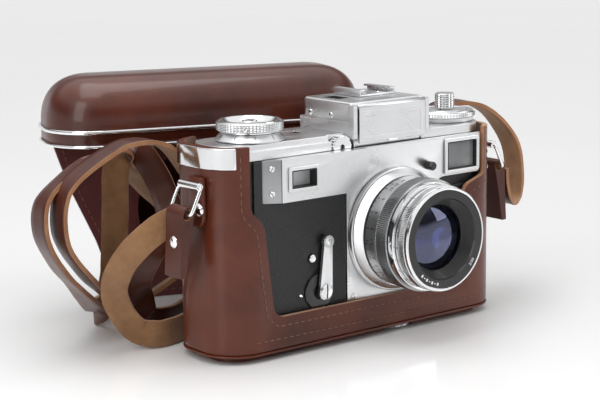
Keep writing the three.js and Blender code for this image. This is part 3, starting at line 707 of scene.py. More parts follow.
# %% The strap's route, the same as the CAD strap
STRAP_ROUTE = [
    ((80.5, -12, 60), (-1, 0, -0.1)), ((81.5, -12, 51), (-0.9, 0, -0.4)),
    ((86, -10, 44), (-0.5, 0, -0.8)), ((92.5, -7, 43), (0.4, 0, -0.9)),
    ((98.5, -4, 49), (0.9, 0, -0.4)), ((103, 3, 67), (1, 0, 0.2)),
    ((96, 12, 82), (0.5, 0, 0.9)), ((88, 17, 86), (0.1, 0, 1)),
    ((76, 21, 85.5), (-0.3, 0, 1)), ((64, 24, 78), (-0.7, 0, 0.7)),
    ((55, 26, 65), (-0.9, 0, 0.5)), ((47, 27, 49), (-0.9, 0, 0.5)),
    ((38, 28, 33), (-0.8, 0, 0.6)), ((27, 29, 18), (-0.7, 0, 0.7)),
    ((13, 30, 7), (-0.5, 0, 0.9)), ((-3, 31, 2.5), (0, 0, 1)),
    ((-19, 31, 5), (0.3, 0, 0.9)), ((-33, 30, 15), (0.7, 0, 0.7)),
    ((-43, 28, 30), (0.9, 0, 0.5)), ((-51, 25, 48), (0.9, 0, 0.3)),
    ((-65.5, 21, 68), (0.9, 0, 0.5)), ((-78.5, 21, 83), (0.4, 0, 0.9)),
    ((-94.5, 22, 85.5), (-0.2, 0, 1)), ((-103.5, 24, 82), (-0.5, 0, 0.9)),
    ((-120, 25, 72), (-0.9, 0, 0.4)), ((-124.5, 25, 65.5), (-1, 0, 0.1)),
    ((-124.5, 26, 50), (-1, 0, -0.2)), ((-109.5, 33, 31), (-0.7, 0, -0.7)),
    ((-98, 38, 21.5), (-0.6, 0, -0.8)), ((-86, 42, 15), (-0.3, -0.2, -0.9)),
    ((-74, 45, 14.5), (0.2, -0.3, -0.9)), ((-52.5, 46, 22.5), (0.5, -0.4, -0.8)),
    ((-43.5, 47, 24.5), (0.8, -0.2, -0.6)), ((-39, 49, 30), (1, 0.2, 0)),
    ((-40.5, 51, 36), (0.7, 0.3, 0.6)), ((-56, 52, 50.5), (0.5, 0.4, 0.7)),
    ((-66.5, 50, 59), (0.5, 0.4, 0.8)), ((-76.5, 47, 67.5), (0.4, 0.3, 0.8)),
    ((-96, 41, 77.5), (-0.2, 0, 1)), ((-116, 35, 72.5), (-0.8, 0, 0.7)),
    ((-129.5, 31, 64), (-1, 0, 0.2)), ((-131, 30, 51.5), (-1, 0, -0.2)),
    ((-120.5, 35, 35), (-0.8, 0, -0.6)), ((-111, 40, 26), (-0.7, 0, -0.7)),
    ((-100.5, 47, 16.5), (-0.6, -0.2, -0.8)), ((-90, 57, 9), (-0.6, -0.7, -0.5)),
    ((-86, 66, 6), (-1, 0.2, 0)), ((-80, 71, 6), (-0.4, 0.9, 0)),
    ((-72, 69, 6), (0.6, 0.8, 0)), ((-70, 60, 6), (1, 0, 0)),
    ((-76, 52, 8), (0.9, -0.1, 0.3)), ((-91.5, 43, 19.5), (0.9, 0.3, 0.3)),
    ((-92, 40, 30), (0.6, 0.8, -0.1)), ((-91, 39, 55), (0.6, 0.8, -0.1)),
    ((-90, 38, 74.5), (0.6, 0.6, 0.5)), ((-87.5, 36, 80), (0, 0.2, 1)),
    ((-83, 34, 80), (-0.6, -0.5, 0.6)), ((-73, 31, 63.5), (-0.6, -0.8, 0.1)),
    ((-73.5, 25, 49), (-0.6, -0.8, 0.1)), ((-85.5, 22, 39), (-0.6, -0.8, 0.1)),
    ((-89, 27, 25.5), (-0.4, -0.9, 0)), ((-84.5, 31, 17.5), (-0.1, -1, 0)),
    ((-83, 31, 10), (-0.3, -0.9, 0)), ((-72, 33, 6.5), (-0.3, -1, 0)),
    ((-48, 46, 6), (-0.5, -0.9, 0)), ((-37, 51, 6), (-0.3, -1, 0)),
    ((-26, 50, 6), (0.4, -0.9, 0)), ((-21, 42, 6), (1, -0.3, 0)),
    ((-26, 34, 6), (0.7, 0.7, 0)), ((-37, 31, 6), (-0.1, 1, 0)),
    ((-50, 30, 6), (-0.2, 1, 0)), ((-76, 18.5, 6), (-0.3, 1, 0)),
    ((-86, 17.5, 6), (0.3, 1, 0)), ((-94, 21, 8.5), (0.7, 0.7, 0.1)),
    ((-103, 22, 23.5), (0.7, 0.7, 0.1)), ((-105, 12, 39), (0.6, 0.8, -0.1)),
    ((-98, -1, 53.5), (0.6, 0.8, -0.1)), ((-88, -4.5, 58.5), (0.6, 0.8, -0.1)),
]


def spline(points, per_span):
    """Centripetal Catmull-Rom curve through the points; gives (place, span, share)."""
    placed = []
    count = len(points)
    for i in range(count - 1):
        b, c = points[i], points[i + 1]
        a = points[i - 1] if i else b * 2 - c
        d = points[i + 2] if i + 2 < count else c * 2 - b
        t1 = (b - a).length ** 0.5
        t2 = t1 + (c - b).length ** 0.5
        t3 = t2 + (d - c).length ** 0.5
        for step in range(per_span + (i == count - 2)):
            s = step / per_span
            t = t1 + (t2 - t1) * s
            a1 = a * ((t1 - t) / t1) + b * (t / t1)
            a2 = b * ((t2 - t) / (t2 - t1)) + c * ((t - t1) / (t2 - t1))
            a3 = c * ((t3 - t) / (t3 - t2)) + d * ((t - t2) / (t3 - t2))
            b1 = a1 * ((t2 - t) / t2) + a2 * (t / t2)
            b2 = a2 * ((t3 - t) / (t3 - t1)) + a3 * ((t - t1) / (t3 - t1))
            placed.append((b1 * ((t2 - t) / (t2 - t1)) + b2 * ((t - t1) / (t2 - t1)), i, s))
    return placed


route_points = [Vector(p) * MM for p, _ in STRAP_ROUTE]
route_faces = [Vector(n).normalized() for _, n in STRAP_ROUTE]
run = spline(route_points, 9)
strap_path = [p for p, _, _ in run]
strap_length = sum((b - a).length for a, b in zip(strap_path, strap_path[1:]))
print("strap length", round(strap_length, 3), "m")

# %% The strap itself
strap_section = [
    (-0.82, -5.5), (0.82, -5.5), (0.95, -5.3), (0.95, -2.6), (0.95, 2.6), (0.95, 5.3), (0.82, 5.5),
    (-0.82, 5.5), (-0.95, 5.3), (-0.95, 2.6), (-0.95, -2.6), (-0.95, -5.3),
]
random.seed(7)
rings = []
for k, (place, span, share) in enumerate(run):
    before = strap_path[max(k - 1, 0)]
    after = strap_path[min(k + 1, len(strap_path) - 1)]
    along = (after - before).normalized()
    facing = route_faces[span].lerp(route_faces[span + 1], share)
    across = along.cross(facing).normalized()
    out = across.cross(along).normalized()
    fray = 1 + 0.012 * math.sin(k * 0.9) + random.uniform(-0.008, 0.008)
    rings.append([place + (out * t + across * w * fray) * MM for t, w in strap_section])
strap = loft("neck_strap_leather", rings, SUEDE)
strap.data.materials.append(GRAIN)
strap.data.materials.append(RAW_EDGE)
sides = len(strap_section)
for face in strap.data.polygons:
    if len(face.vertices) == 4:
        edge = face.index % sides
        face.material_index = {2: 1, 3: 1, 4: 1, 0: 2, 6: 2}.get(edge, 0)
smooth(strap, 50)
fit(strap, "camera", "strap_leather", "neck_strap")

# %% [markdown]
# The strap's path, the same one that the skin was built on, is also listed as points: every third one and the
# last. Its far end goes back into the object.

STRAP_STEP = 3
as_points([tuple(p) for p in strap_path[::STRAP_STEP]] + [tuple(strap_path[-1])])

# %% [markdown]
# ## Body shell and front
# The die-cast body is covered in black leatherette, and most of it is inside the case. Those parts
# already have the right shape, so they only get finishes. The chromed front plate and the long
# rangefinder arm are visible from close by, so they are made again with rounded edges.

# %% Finishes of the parts that keep their shape
KEPT = {
    "body_casting": PEBBLE, "back_cover": PEBBLE, "pressure_plate": MATT_BLACK, "film_gate": CAST,
    "shutter_crate": MATT_BLACK, "shutter_curtain": MATT_BLACK, "rangefinder_prism": PANE,
    "take_up_spool": BLACK, "film_cassette": FILM_TIN, "meter_door_pin": POLISHED,
    "selenium_cell": SELENIUM, "iris_diaphragm": MATT_BLACK, "rear_element": AMBER,
    "case_sole": CASE,
}
for node_name, material in KEPT.items():
    paint(node_name, material)

# %% Front plate
plate_outline = (
    [(-20, -40), (30, -40), (30, 12.9)]
    + [(34 - 4 * math.cos(a), 12.9 + 4 * math.sin(a)) for a in (0.3, 0.6, 0.9, 1.2, math.pi / 2)]
    + [(54, 16.9), (55.4, 17.5), (56, 18.9), (56, 34.2), (-20, 34.2)]
)
LENS_ON_BODY = ((LENS.x - BODY.x) / MM, (LENS.z - BODY.z) / MM)
front_plate = slab("front_plate_chrome", plate_outline, "front", 0, 1, material=SATIN)
carve(
    front_plate,
    slab("mount_hole", circle(*LENS_ON_BODY, 20.6, 64), "front", -1, 2, material=MATT_BLACK),
    slab("finder_hole", rounded(36.1, 52.9, 19.4, 31.2, 0.3), "front", -1, 2, material=MATT_BLACK),
)
soften(front_plate, 0.15, 2)
fit(front_plate, "camera", "chrome_satin", "front_plate")

# %% Rangefinder arm, one long pressing with a round lower corner
arm_outline = rounded(-55.5, -10.8, 16.9, 34.2, [0.3, 11, 0.3, 0.3], 12)
arm = slab("rangefinder_arm_chrome", arm_outline, "front", -3, -0.2, material=SATIN)
carve(
    arm, slab("arm_root", rounded(-55.5, -20.2, 16.9, 34.2, 0.2), "front", -1, 1, material=SATIN),
    operation="UNION"
)
carve(
    arm,
    slab("arm_window", rounded(-50.7, -38.7, 22.2, 29.2, 0.3), "front", -4, 3, material=MATT_BLACK),
)
soften(arm, 0.35, 3)
fit(arm, "camera", "chrome_satin", "rangefinder_arm")

# %% Slanted end cap of the arm, with two screws
cap = slab(
    "arm_end_casting", [(-55.7, -3), (-55.7, 0.9), (-62.6, 0.9)], "top", 16.9, 34.2, 0.25, material=CAST,
)
fit(cap, "camera", "cast_grey", "arm_end_cap")


def screw(name, centre, axis, radius, height, turn=0.6, material=POLISHED):
    """A cheese-head screw: a low dome with a slot, its head standing height mm out along axis."""
    profile = [
        (0, -0.4), (radius, -0.4), (radius, height * 0.45), (radius * 0.86, height * 0.8), (0, height)
    ]
    head = spun(name, profile, centre, axis, 32, closed=False, material=material)
    axis = Vector(axis).normalized()
    base = axis.orthogonal().normalized()
    along = base * math.cos(turn) + axis.cross(base) * math.sin(turn)
    wide = axis.cross(along)
    corners = []
    for depth in (height * 0.35, height + 1):
        for a, b in ((-1, -1), (1, -1), (1, 1), (-1, 1)):
            across = along * a * radius * 1.1 + wide * b * radius * 0.11
            corners.append(centre + (across + axis * depth) * MM)
    cutter = mesh_piece(
        "slot", corners,
        faces=[(3, 2, 1, 0), (4, 5, 6, 7), (0, 1, 5, 4), (1, 2, 6, 5), (2, 3, 7, 6), (3, 0, 4, 7)]
    )
    # The slot's walls take this matt black from the cutter: painted shade in the groove of the bare metal
    # head.
    cutter.data.materials.append(MATT_BLACK)
    tidy(cutter)
    return smooth(carve(head, cutter), 30)


slant = Vector((-3.9, -6.9, 0)).normalized()
arm_screws = [
    screw(f"arm_screw_{k}", at(-59.2, -1.2, z), slant, 1.2, 0.5, turn) for k,
    (z, turn) in enumerate(((30.6, 0.4), (20.6, 1.3)))
]
fit(join("arm_end_screws", *arm_screws), "camera", "chrome_polished")
plate_screw = screw("front_plate_screw", at(-16.7, -0.05, -27.4), (0, -1, 0), 1.15, 0.35, 0.9)
fit(plate_screw, "camera", "chrome_polished")

# %% Leatherette panels
left_outline = [(-67, -40), (-20.3, -40), (-20.3, 16.7), (-62.8, 16.7), (-62.8, 34), (-67, 34)]
left_skin = slab("leatherette_panel_left", left_outline, "front", 0.3, 1, material=PEBBLE)
carve(left_skin, slab("button_hole", circle(-38.6, -8.3, 1.9), "front", 0, 2, material=MATT_BLACK))
soften(left_skin, 0.2, 2)
fit(left_skin, "camera", "pebbled_leather", "leatherette_left")
right_skin = slab(
    "leatherette_panel_right", rounded(30.3, 49.5, -40, 12.6, 0.4), "front", 0.3, 1, 0.2, 2, PEBBLE
)
fit(right_skin, "camera", "pebbled_leather", "leatherette_right")

# %% [markdown]
# ## Finder windows
# Each window is a pressed frame with a rounded step round a deep black recess. The pane sits at
# the bottom of it, so from one side a strip of the black wall shows beside the grey glass.

# %% Window frames, recesses and panes
def finder_window(word, box, border, face, deep, node_frame, node_glass, pane_finish):
    x0, x1, z0, z1 = box
    rim = slab(f"{word}_rim", rounded(x0, x1, z0, z1, 1.0), "front", face, face + 0.8, material=SATIN)
    hole = rounded(x0 + border, x1 - border, z0 + border, z1 - border, 0.35)
    carve(rim, slab("hole", hole, "front", face - 1, face + 2, material=SATIN))
    soften(rim, 0.3, 3)
    fit(rim, "camera", "chrome_satin", node_frame)
    inset = border + 0.15
    outer = rounded(x0 + inset, x1 - inset, z0 + inset, z1 - inset, 0.3)
    wall = inset + 0.25
    inner = rounded(x0 + wall, x1 - wall, z0 + wall, z1 - wall, 0.3)
    well = slab(f"{word}_recess", outer, "front", face + 0.1, deep, material=MATT_BLACK)
    carve(well, slab("inside", inner, "front", face - 1, deep - 0.25, material=MATT_BLACK))
    smooth(well)
    fit(well, "camera", "black_paint")
    pane = slab(f"{word}_pane", inner, "front", deep - 0.85, deep - 0.3, 0.08, 1, pane_finish)
    fit(pane, "camera", "clear_glass", node_glass)


finder_window(
    "rangefinder_window", (-52.5, -36.9, 20.6, 30.8), 1.5, -3.9, 1.3,
    "rangefinder_window_frame", "rangefinder_glass", FINDER_PALE,
)
finder_window(
    "viewfinder_window", (34.3, 54.7, 17.6, 33), 1.7, -0.9, 2.0,
    "viewfinder_window_frame", "viewfinder_glass", FINDER_GREY,
)

# %% [markdown]
# ## Top cover and meter housing
# The top is a thin chromed pressing with a raised deck on the winding side. On it stands the
# meter housing, a tall box whose front is closed by a roller-hinged flap. Each block is raised from
# its outline, the blocks are united, and the edges are rounded together so that the light runs
# along them.

# %% Top cover
cover = slab("top_cover_chrome", rounded(-80, 62.5, 1.4, 34, 13.5, 16), "top", 34.2, 38, material=SATIN)
deck_outline = rounded(-78, -16.7, 3.6, 32, [12, 1, 1, 12], 14)
carve(cover, slab("deck", deck_outline, "top", 37, 40.2, material=SATIN), operation="UNION")
carve(
    cover,
    slab("wheel_slot", rounded(-26.6, -14.8, -5, 5.6, 0.3), "top", 20, 60, material=SATIN),
    slab("wind_bore", circle(-56.1, 16.9, 2.6), "top", 20, 60, material=MATT_BLACK),
    slab("rewind_bore", circle(51, 17.5, 2.6), "top", 20, 60, material=MATT_BLACK),
    slab("counter_window", rounded(-31.5, -28.9, 17.2, 23.2, 1.25), "top", 39.4, 41, material=MATT_BLACK),
    slab("meter_seat", rounded(-14, 22.4, -5, 2.2, 0.2), "top", 20, 60, material=SATIN),
)
soften(cover, 0.5, 3)
fit(cover, "camera", "chrome_satin", "top_cover")

# %% Meter housing
housing = slab("meter_housing_chrome", rounded(-16.5, 25, 2, 35, 0.8), "top", 38.1, 44.6, material=SATIN)
upper = slab("upper", rounded(-15.7, 24.2, 2, 34.2, [1.2, 1.2, 3, 3]), "top", 44, 52.6, 1.1, 4, SATIN)
pillars = [
    slab("pillar", rounded(-16.5, -14.6, -0.9, 3, 0.4), "top", 38.1, 51.8, material=SATIN),
    slab("pillar", rounded(22.7, 25, -0.9, 3, 0.4), "top", 38.1, 51.8, material=SATIN),
]
carve(housing, upper, *pillars, operation="UNION")
carve(
    housing,
    slab("cell_room", rounded(-13, 21.4, 39.4, 48.6, 0.3), "front", 0, 7, material=MATT_BLACK),
    slab("roll_room", rounded(-14.5, 22.6, 36, 52.2, 0.2), "front", -3, 2.4, material=SATIN),
    slab("needle_slot", rounded(-11.4, -4.6, 16, 26, 0.6), "top", 50.6, 54, material=MATT_BLACK),
)
soften(housing, 0.35, 3)
fit(housing, "camera", "chrome_satin", "meter_housing")
housing_screws = [
    screw(f"housing_screw_{k}", at(-15.65, y, 46.6), (-1, 0, 0), 1.15, 0.55, turn)
    for k, (y, turn) in enumerate(((14.9, 0.5), (28.5, 1.1)))
]
fit(join("meter_housing_screws", *housing_screws), "camera", "chrome_polished")

# %% The meter's needle window with its needle
window_glass = slab("meter_window_pane", rounded(-11, -5, 16.4, 25.6, 0.5), "top", 51.5, 52.1, 0.1, 1, PANE)
fit(window_glass, "camera", "clear_glass", "meter_window")
scale_plate = slab(
    "meter_scale_plate", rounded(-11, -5, 16.4, 25.6, 0.5), "top", 50.7, 50.95, material=WHITE_INK
)
needle = slab(
    "meter_needle", [(-10.4, 20.6), (-5.4, 20.95), (-5.4, 21.15)], "top", 51.1, 51.25, material=INK
)
marks = [
    slab("mark", rounded(-6.6, -5.5, 17.2 + k * 1.3, 17.4 + k * 1.3, 0), "top", 50.9, 51.0, material=INK)
    for k in range(7)
]
fit(join("meter_scale", scale_plate, needle, *marks), "camera", "black_paint")

# %% The meter's flap: a bevelled panel hung from a roller
door = slab("meter_flap_chrome", rounded(-14, 22.1, 36.3, 49.2, 0.5), "front", -1.4, -0.1, material=SATIN)
field = slab("field", rounded(-11.6, 19.7, 38.6, 46.9, 0.4), "front", -2.2, -1.0, material=SATIN)
carve(door, field)
soften(door, 0.55, 1, 50)
carve(
    door,
    slab("web", rounded(-14, 22.1, 48.6, 50.8, 0.2), "front", -1.2, -0.1, material=SATIN),
    operation="UNION",
)
roller = spun(
    "roller", [(0.75, -14), (1.2, -14), (1.35, -13.7), (1.35, 21.8), (1.2, 22.1), (0.75, 22.1)],
    at(0, 0.2, 50.6), (1, 0, 0), 40, material=SATIN,
)
tab = slab("thumb_tab", rounded(1.4, 6.6, 35.9, 36.6, 0.25), "front", -1.9, -0.9, 0.1, 2, POLISHED)
smooth(door)
fit(join("meter_flap_panel", door, roller, tab), "meter_flap", "chrome_satin", "meter_door")

# %% Accessory shoe, with its turned-in lips
shoe_profile = [
    (-1, 52.7), (19, 52.7), (19, 55.6), (15.8, 55.6), (15.8, 54.8), (17.8, 54.8), (17.8, 53.5),
    (0.2, 53.5), (0.2, 54.8), (2.2, 54.8), (2.2, 55.6), (-1, 55.6),
]
shoe = slab("accessory_shoe_rail", shoe_profile, "front", 14, 31, 0.25, 2, SATIN)
fit(shoe, "camera", "chrome_satin", "accessory_shoe")
shoe_screws = [
    screw(f"shoe_screw_{k}", at(x, y, 53.55), (0, 0, 1), 1.1, 0.3, 0.4 * k) for k,
    (x, y) in enumerate(((5, 18), (13, 18), (9, 27)))
]
fit(join("accessory_shoe_screws", *shoe_screws), "camera", "chrome_polished")

# %% [markdown]
# ## Knobs and dials on top
# The winding knob is a dished, square-knurled ring over a conical speed dial with its numbers on
# the slope. The rewind side has a wide exposure dial with a knurled edge and a small knob on top.
# Each is turned round the axis that the frame gives.

# %% Winding knob and speed dial
wind_low, wind_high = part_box("winding_knob")
WIND = Vector(((wind_low.x + wind_high.x) / 2, (wind_low.y + wind_high.y) / 2, BODY.z))
knob_band = knurled("knob_band", WIND, (0, 0, 1), 13.25, 44.3, 48.1, 60, 5, 0.5, 11.5, BRUSHED)
knob_dish = spun("knob_dish", [
    (3.7, 43.95), (12.9, 43.95), (13.0, 44.3), (11.6, 44.5), (11.6, 48.0), (12.9, 48.05), (12.7, 48.4),
    (12.0, 48.55), (11.4, 48.4), (10.2, 47.2), (8.4, 46.3), (5.6, 45.9), (3.7, 45.8),
], WIND, (0, 0, 1), 96, material=POLISHED)
set_screws = []
for turn in (-2.35, 0.8):
    spot = WIND + Vector((math.cos(turn) * 13.6, math.sin(turn) * 13.6, 46.2)) * MM
    set_screws.append(screw("set_screw", spot, (math.cos(turn), math.sin(turn), 0), 1.05, 0.3, 0.3))
fit(
    join("winding_knob_turned", knob_band, knob_dish, *set_screws), "winding", "chrome_satin",
    "winding_knob"
)

dial = spun("speed_dial_cone", [
    (2.6, 40.4), (14.0, 40.4), (14.2, 40.6), (14.2, 40.95), (13.9, 41.2), (11.9, 43.5), (11.6, 43.6),
    (2.6, 43.6),
], WIND, (0, 0, 1), 96, material=SATIN)
CONE_FOOT, CONE_TOP, CONE_LOW, CONE_HIGH = 13.9, 11.9, 41.2, 43.5


def round_cone(angle):
    """Warp for marks on the speed dial's slope, read from outside."""
    def warp(u, v, d):
        share = 0.5 + v / 3.0
        radius = CONE_FOOT + (CONE_TOP - CONE_FOOT) * share + d
        height = CONE_LOW + (CONE_HIGH - CONE_LOW) * share + d
        a = math.radians(angle) + u / radius
        return WIND + Vector((math.cos(a) * radius, math.sin(a) * radius, height)) * MM
    return warp


speed_marks = []
for k, text in enumerate(("2", "5", "10", "25", "50", "100", "250", "500", "B", "1")):
    speed_marks.append(wrap(letters(text, 2.1, INK), round_cone(-118 + k * 36)))
    speed_marks.append(wrap(tick(0.18, 0.5, INK, 0, -1.25), round_cone(-118 + k * 36)))
fit(join("speed_dial_numbered", dial, *speed_marks), "winding", "chrome_satin", "speed_dial")

# %% Shutter release
release = spun(
    "release_button",
    [(0, 45.2), (3.2, 45.2), (3.3, 45.3), (3.3, 47.7), (3.0, 48.1), (1.6, 48.0), (0, 47.6)], WIND,
    (0, 0, 1), 48, closed=False, material=POLISHED
)
fit(release, "release", "chrome_polished", "shutter_button")

# %% Rewind knob and exposure dial
rewind_low, rewind_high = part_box("rewind_knob")
REWIND = Vector(((rewind_low.x + rewind_high.x) / 2, (rewind_low.y + rewind_high.y) / 2, BODY.z))
dial_band = knurled("dial_band", REWIND, (0, 0, 1), 13.1, 39.9, 42.2, 66, 3, 0.4, 12.0, BRUSHED)
dial_body = spun("dial_body", [
    (2.6, 38.2), (12.3, 38.2), (12.4, 38.35), (12.4, 39.8), (12.0, 39.95), (12.0, 42.2), (12.8, 42.3),
    (12.5, 42.75), (11.0, 42.75), (10.9, 42.6), (8.4, 42.6), (8.3, 42.75), (2.6, 42.75),
], REWIND, (0, 0, 1), 96, material=SATIN)


def flat_round(angle, radius, height):
    def warp(u, v, d):
        a = math.radians(angle) - u / radius
        return REWIND + Vector((math.cos(a) * (radius + v), math.sin(a) * (radius + v), height + d)) * MM
    return warp


dial_marks = []
for k, text in enumerate(("2", "2.8", "4", "5.6", "8", "11", "16", "22")):
    dial_marks.append(wrap(letters(text, 1.3, INK), flat_round(k * 45, 9.6, 42.6)))
    for sub in range(3):
        dial_marks.append(wrap(tick(0.14, 0.7, INK), flat_round(k * 45 + sub * 15, 11.7, 42.75)))
fit(
    join("exposure_dial_numbered", dial_body, dial_band, *dial_marks), "exposure_scale", "chrome_satin",
    "exposure_dial"
)
knob_core = spun(
    "rewind_core", [(0, 18.4), (2.2, 18.4), (2.2, 43.2), (3.9, 43.2), (3.9, 49.9), (3.4, 50), (0, 50)],
    REWIND, (0, 0, 1), 48, closed=False, material=SATIN
)
knob_grip = knurled("rewind_grip", REWIND, (0, 0, 1), 4.1, 43.25, 49.8, 22, 6, 0.3, 3.6, BRUSHED)
fit(join("rewind_knob_turned", knob_core, knob_grip), "rewind", "chrome_satin", "rewind_knob")

# %% Focusing wheel at the front edge of the top cover
wheel_low, wheel_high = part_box("focus_wheel")
WHEEL = Vector(((wheel_low.x + wheel_high.x) / 2, BODY.y, (wheel_low.z + wheel_high.z) / 2))
wheel = knurled("focus_wheel_ribbed", WHEEL, (0, 1, 0), 4.75, 1.6, 5.0, 26, 0, 0.35, 1.2, POLISHED)
fit(wheel, "finger_wheel", "chrome_satin", "focus_wheel")
catch = spun(
    "infinity_catch_stud", [(0, -4.4), (1.5, -4.3), (1.9, -3.7), (1.9, -0.6), (0, -0.6)],
    at(24.5, 0, 22.8), (0, 1, 0), 32, closed=False, material=BLACK
)
fit(catch, "infinity_catch", "chrome_polished", "infinity_lock")

# %% [markdown]
# ## Self-timer
# A flat lever on a slotted screw, over a black disc, with a round tip that is pressed down like a
# rivet. The start button hides beside it.

# %% Self-timer lever, disc, screw and button
timer_disc = spun(
    "timer_disc_black", [(3.2, -0.5), (7.1, -0.5), (7.4, -0.3), (7.4, 0.1), (3.2, 0.1)],
    at(-35, 0, -22.5), (0, 1, 0), 64, material=BLACK
)
fit(timer_disc, "camera", "black_paint", "timer_plate")
lever_outline = [
    (-36.7, -23.3), (-36.1, -24.7), (-34.9, -25.6), (-31.9, -25.6), (-30.7, -24.7), (-30.1, -23.3),
    (-29.8, -1.9), (-34.0, -1.9)
]
lever = slab("lever_blade", lever_outline, "front", -2.6, -1.2, material=SATIN)
carve(
    lever, slab("tip", circle(-31.9, -1.9, 2.6, 32), "front", -2.9, -1.2, material=SATIN),
    operation="UNION"
)
carve(lever, slab("pivot_hole", circle(-33.4, -22.3, 1.4, 32), "front", -4, 0, material=MATT_BLACK))
soften(lever, 0.25, 2)
tip_rivet = spun(
    "tip_rivet", [(0, -3.15), (0.5, -3.1), (0.8, -2.95), (1.3, -2.95), (1.4, -2.8), (0, -2.8)],
    at(-31.9, 0, -1.9), (0, 1, 0), 32, closed=False, material=POLISHED
)
fit(join("timer_lever_blade", lever, tip_rivet), "timer", "chrome_satin", "timer_lever")
timer_bolt = screw("timer_bolt_head", at(-33.4, -2.75, -22.3), (0, -1, 0), 3.0, 0.85, 0.75)
bolt_shank = spun(
    "bolt_shank", [(0, -2.9), (1.2, -2.9), (1.2, 0.1), (0, 0.1)], at(-33.4, 0, -22.3), (0, 1, 0), 24,
    closed=False, material=POLISHED
)
fit(join("timer_bolt", timer_bolt, bolt_shank), "timer", "chrome_polished", "timer_screw")
start = spun(
    "timer_start_button", [(0, -0.9), (1.3, -0.85), (1.6, -0.6), (1.6, 0.1), (0, 0.1)],
    at(-38.6, 0, -8.3), (0, 1, 0), 32, closed=False, material=POLISHED
)
fit(start, "timer_release", "chrome_polished", "timer_button")
stop_pin = spun(
    "timer_stop_pin", [(0, -0.5), (0.45, -0.4), (0.7, 0), (0.7, 0.35), (0, 0.35)], at(-44.4, 0, -23),
    (0, 1, 0), 24, closed=False, material=POLISHED
)
fit(stop_pin, "camera", "chrome_polished")
print("body and controls made")

# %% [markdown]
# ## The lens
# The lens is a stack of turned rings. From the body outwards: a flange, a sloping depth ring with a
# red dot, the distance scale, a ribbed grip, a polished band, the aperture ring with fine knurling,
# a polished rim and a black front ring. The rings turn or slide with their own bodies.

# %% Flange and depth-of-field ring
flange = spun("lens_flange_turned", [
    (20.3, -10.6), (25.6, -10.6), (26.0, -10.3), (26.0, -8.4), (25.8, -8.2), (20.3, -8.2),
], lens_at(0, 0, 0), steps=128, material=SATIN)
fit(flange, "camera", "chrome_satin", "lens_flange")

depth = spun("depth_ring_cone", [
    (20.3, -14.6), (23.3, -14.6), (23.4, -14.5), (25.3, -10.9), (25.2, -10.8), (20.3, -10.8),
], lens_at(0, 0, 0), steps=128, material=SATIN)
DEPTH_MID, DEPTH_RADIUS, DEPTH_SLOPE = -12.6, 24.35, 0.526
depth_marks = [wrap(letters("•", 5.0, RED_INK), round_lens(-4, DEPTH_MID, DEPTH_RADIUS, DEPTH_SLOPE))]
for stop, turn in (("2", 7), ("4", 14), ("5.6", 20), ("8", 28), ("11", 37), ("16", 50), ("22", 66)):
    for way in (-1, 1):
        angle = -4 + way * turn
        by_number = round_lens(angle, DEPTH_MID + 0.7, DEPTH_RADIUS, DEPTH_SLOPE)
        by_tick = round_lens(angle, DEPTH_MID, DEPTH_RADIUS, DEPTH_SLOPE)
        depth_marks.append(wrap(letters(stop, 1.35, INK), by_number))
        depth_marks.append(wrap(tick(0.22, 1.2, INK, 0, -1.1), by_tick))
fit(join("depth_ring_marked", depth, *depth_marks), "camera", "chrome_satin", "depth_ring")

# %% Distance scale and ribbed grip, on the focusing ring
scale_ring = spun("scale_ring", [
    (19.6, -21.8), (22.9, -21.8), (23.0, -21.7), (23.0, -15.6), (22.7, -15.35), (22.7, -15.0), (19.6, -15.0),
], lens_at(0, 0, 0), steps=128, material=SATIN)
seam_line = spun(
    "seam_line", [(22.6, -15.36), (22.78, -15.36), (22.78, -15.04), (22.6, -15.04)], lens_at(0, 0, 0),
    steps=96, material=INK
)
grip = knurled(
    "ribbed_grip", lens_at(0, 0, 0), (0, 1, 0), 23.15, -28.5, -21.9, 176, 0, 0.3, 19.6, GRIP, 0.25
)
scale_marks = []
distances = (
    ("∞", -14), ("15", -24), ("10", -32), ("6", -46), ("4", -62), ("3", -79), ("2.5", -92), ("2", -110),
    ("1.7", -122), ("1.5", -131), ("1.3", -142), ("1.2", -150), ("1.1", -160), ("1", -171),
    ("0.9", -184)
)
for text, angle in distances:
    scale_marks.append(wrap(letters(text, 2.4, INK), round_lens(angle, -19.4, 23.0)))
    scale_marks.append(wrap(tick(0.3, 1.5, INK), round_lens(angle, -16.6, 23.0)))
for k in range(30):
    scale_marks.append(wrap(tick(0.16, 0.8, INK), round_lens(-16 - k * 5.7, -16.2, 23.0)))
fit(
    join("focus_ring_marked", scale_ring, seam_line, grip, *scale_marks), "focusing_ring",
    "chrome_satin", "focus_ring"
)

# %% Lens head: polished band and rim
barrel = spun("lens_barrel_turned", [
    (17.4, -38.3), (20.4, -38.3), (20.4, -38.9), (20.7, -39.0), (21.1, -38.95), (21.45, -38.5),
    (21.5, -37.6), (21.2, -37.4), (19.2, -37.4), (19.2, -31.75), (22.2, -31.7), (22.55, -31.4),
    (22.6, -30.6), (22.6, -29.2), (22.3, -28.9), (19.2, -28.9), (19.2, -1), (17.4, -1),
], lens_at(0, 0, 0), steps=128, material=POLISHED)
fit(barrel, "lens_head", "chrome_polished", "lens_barrel")

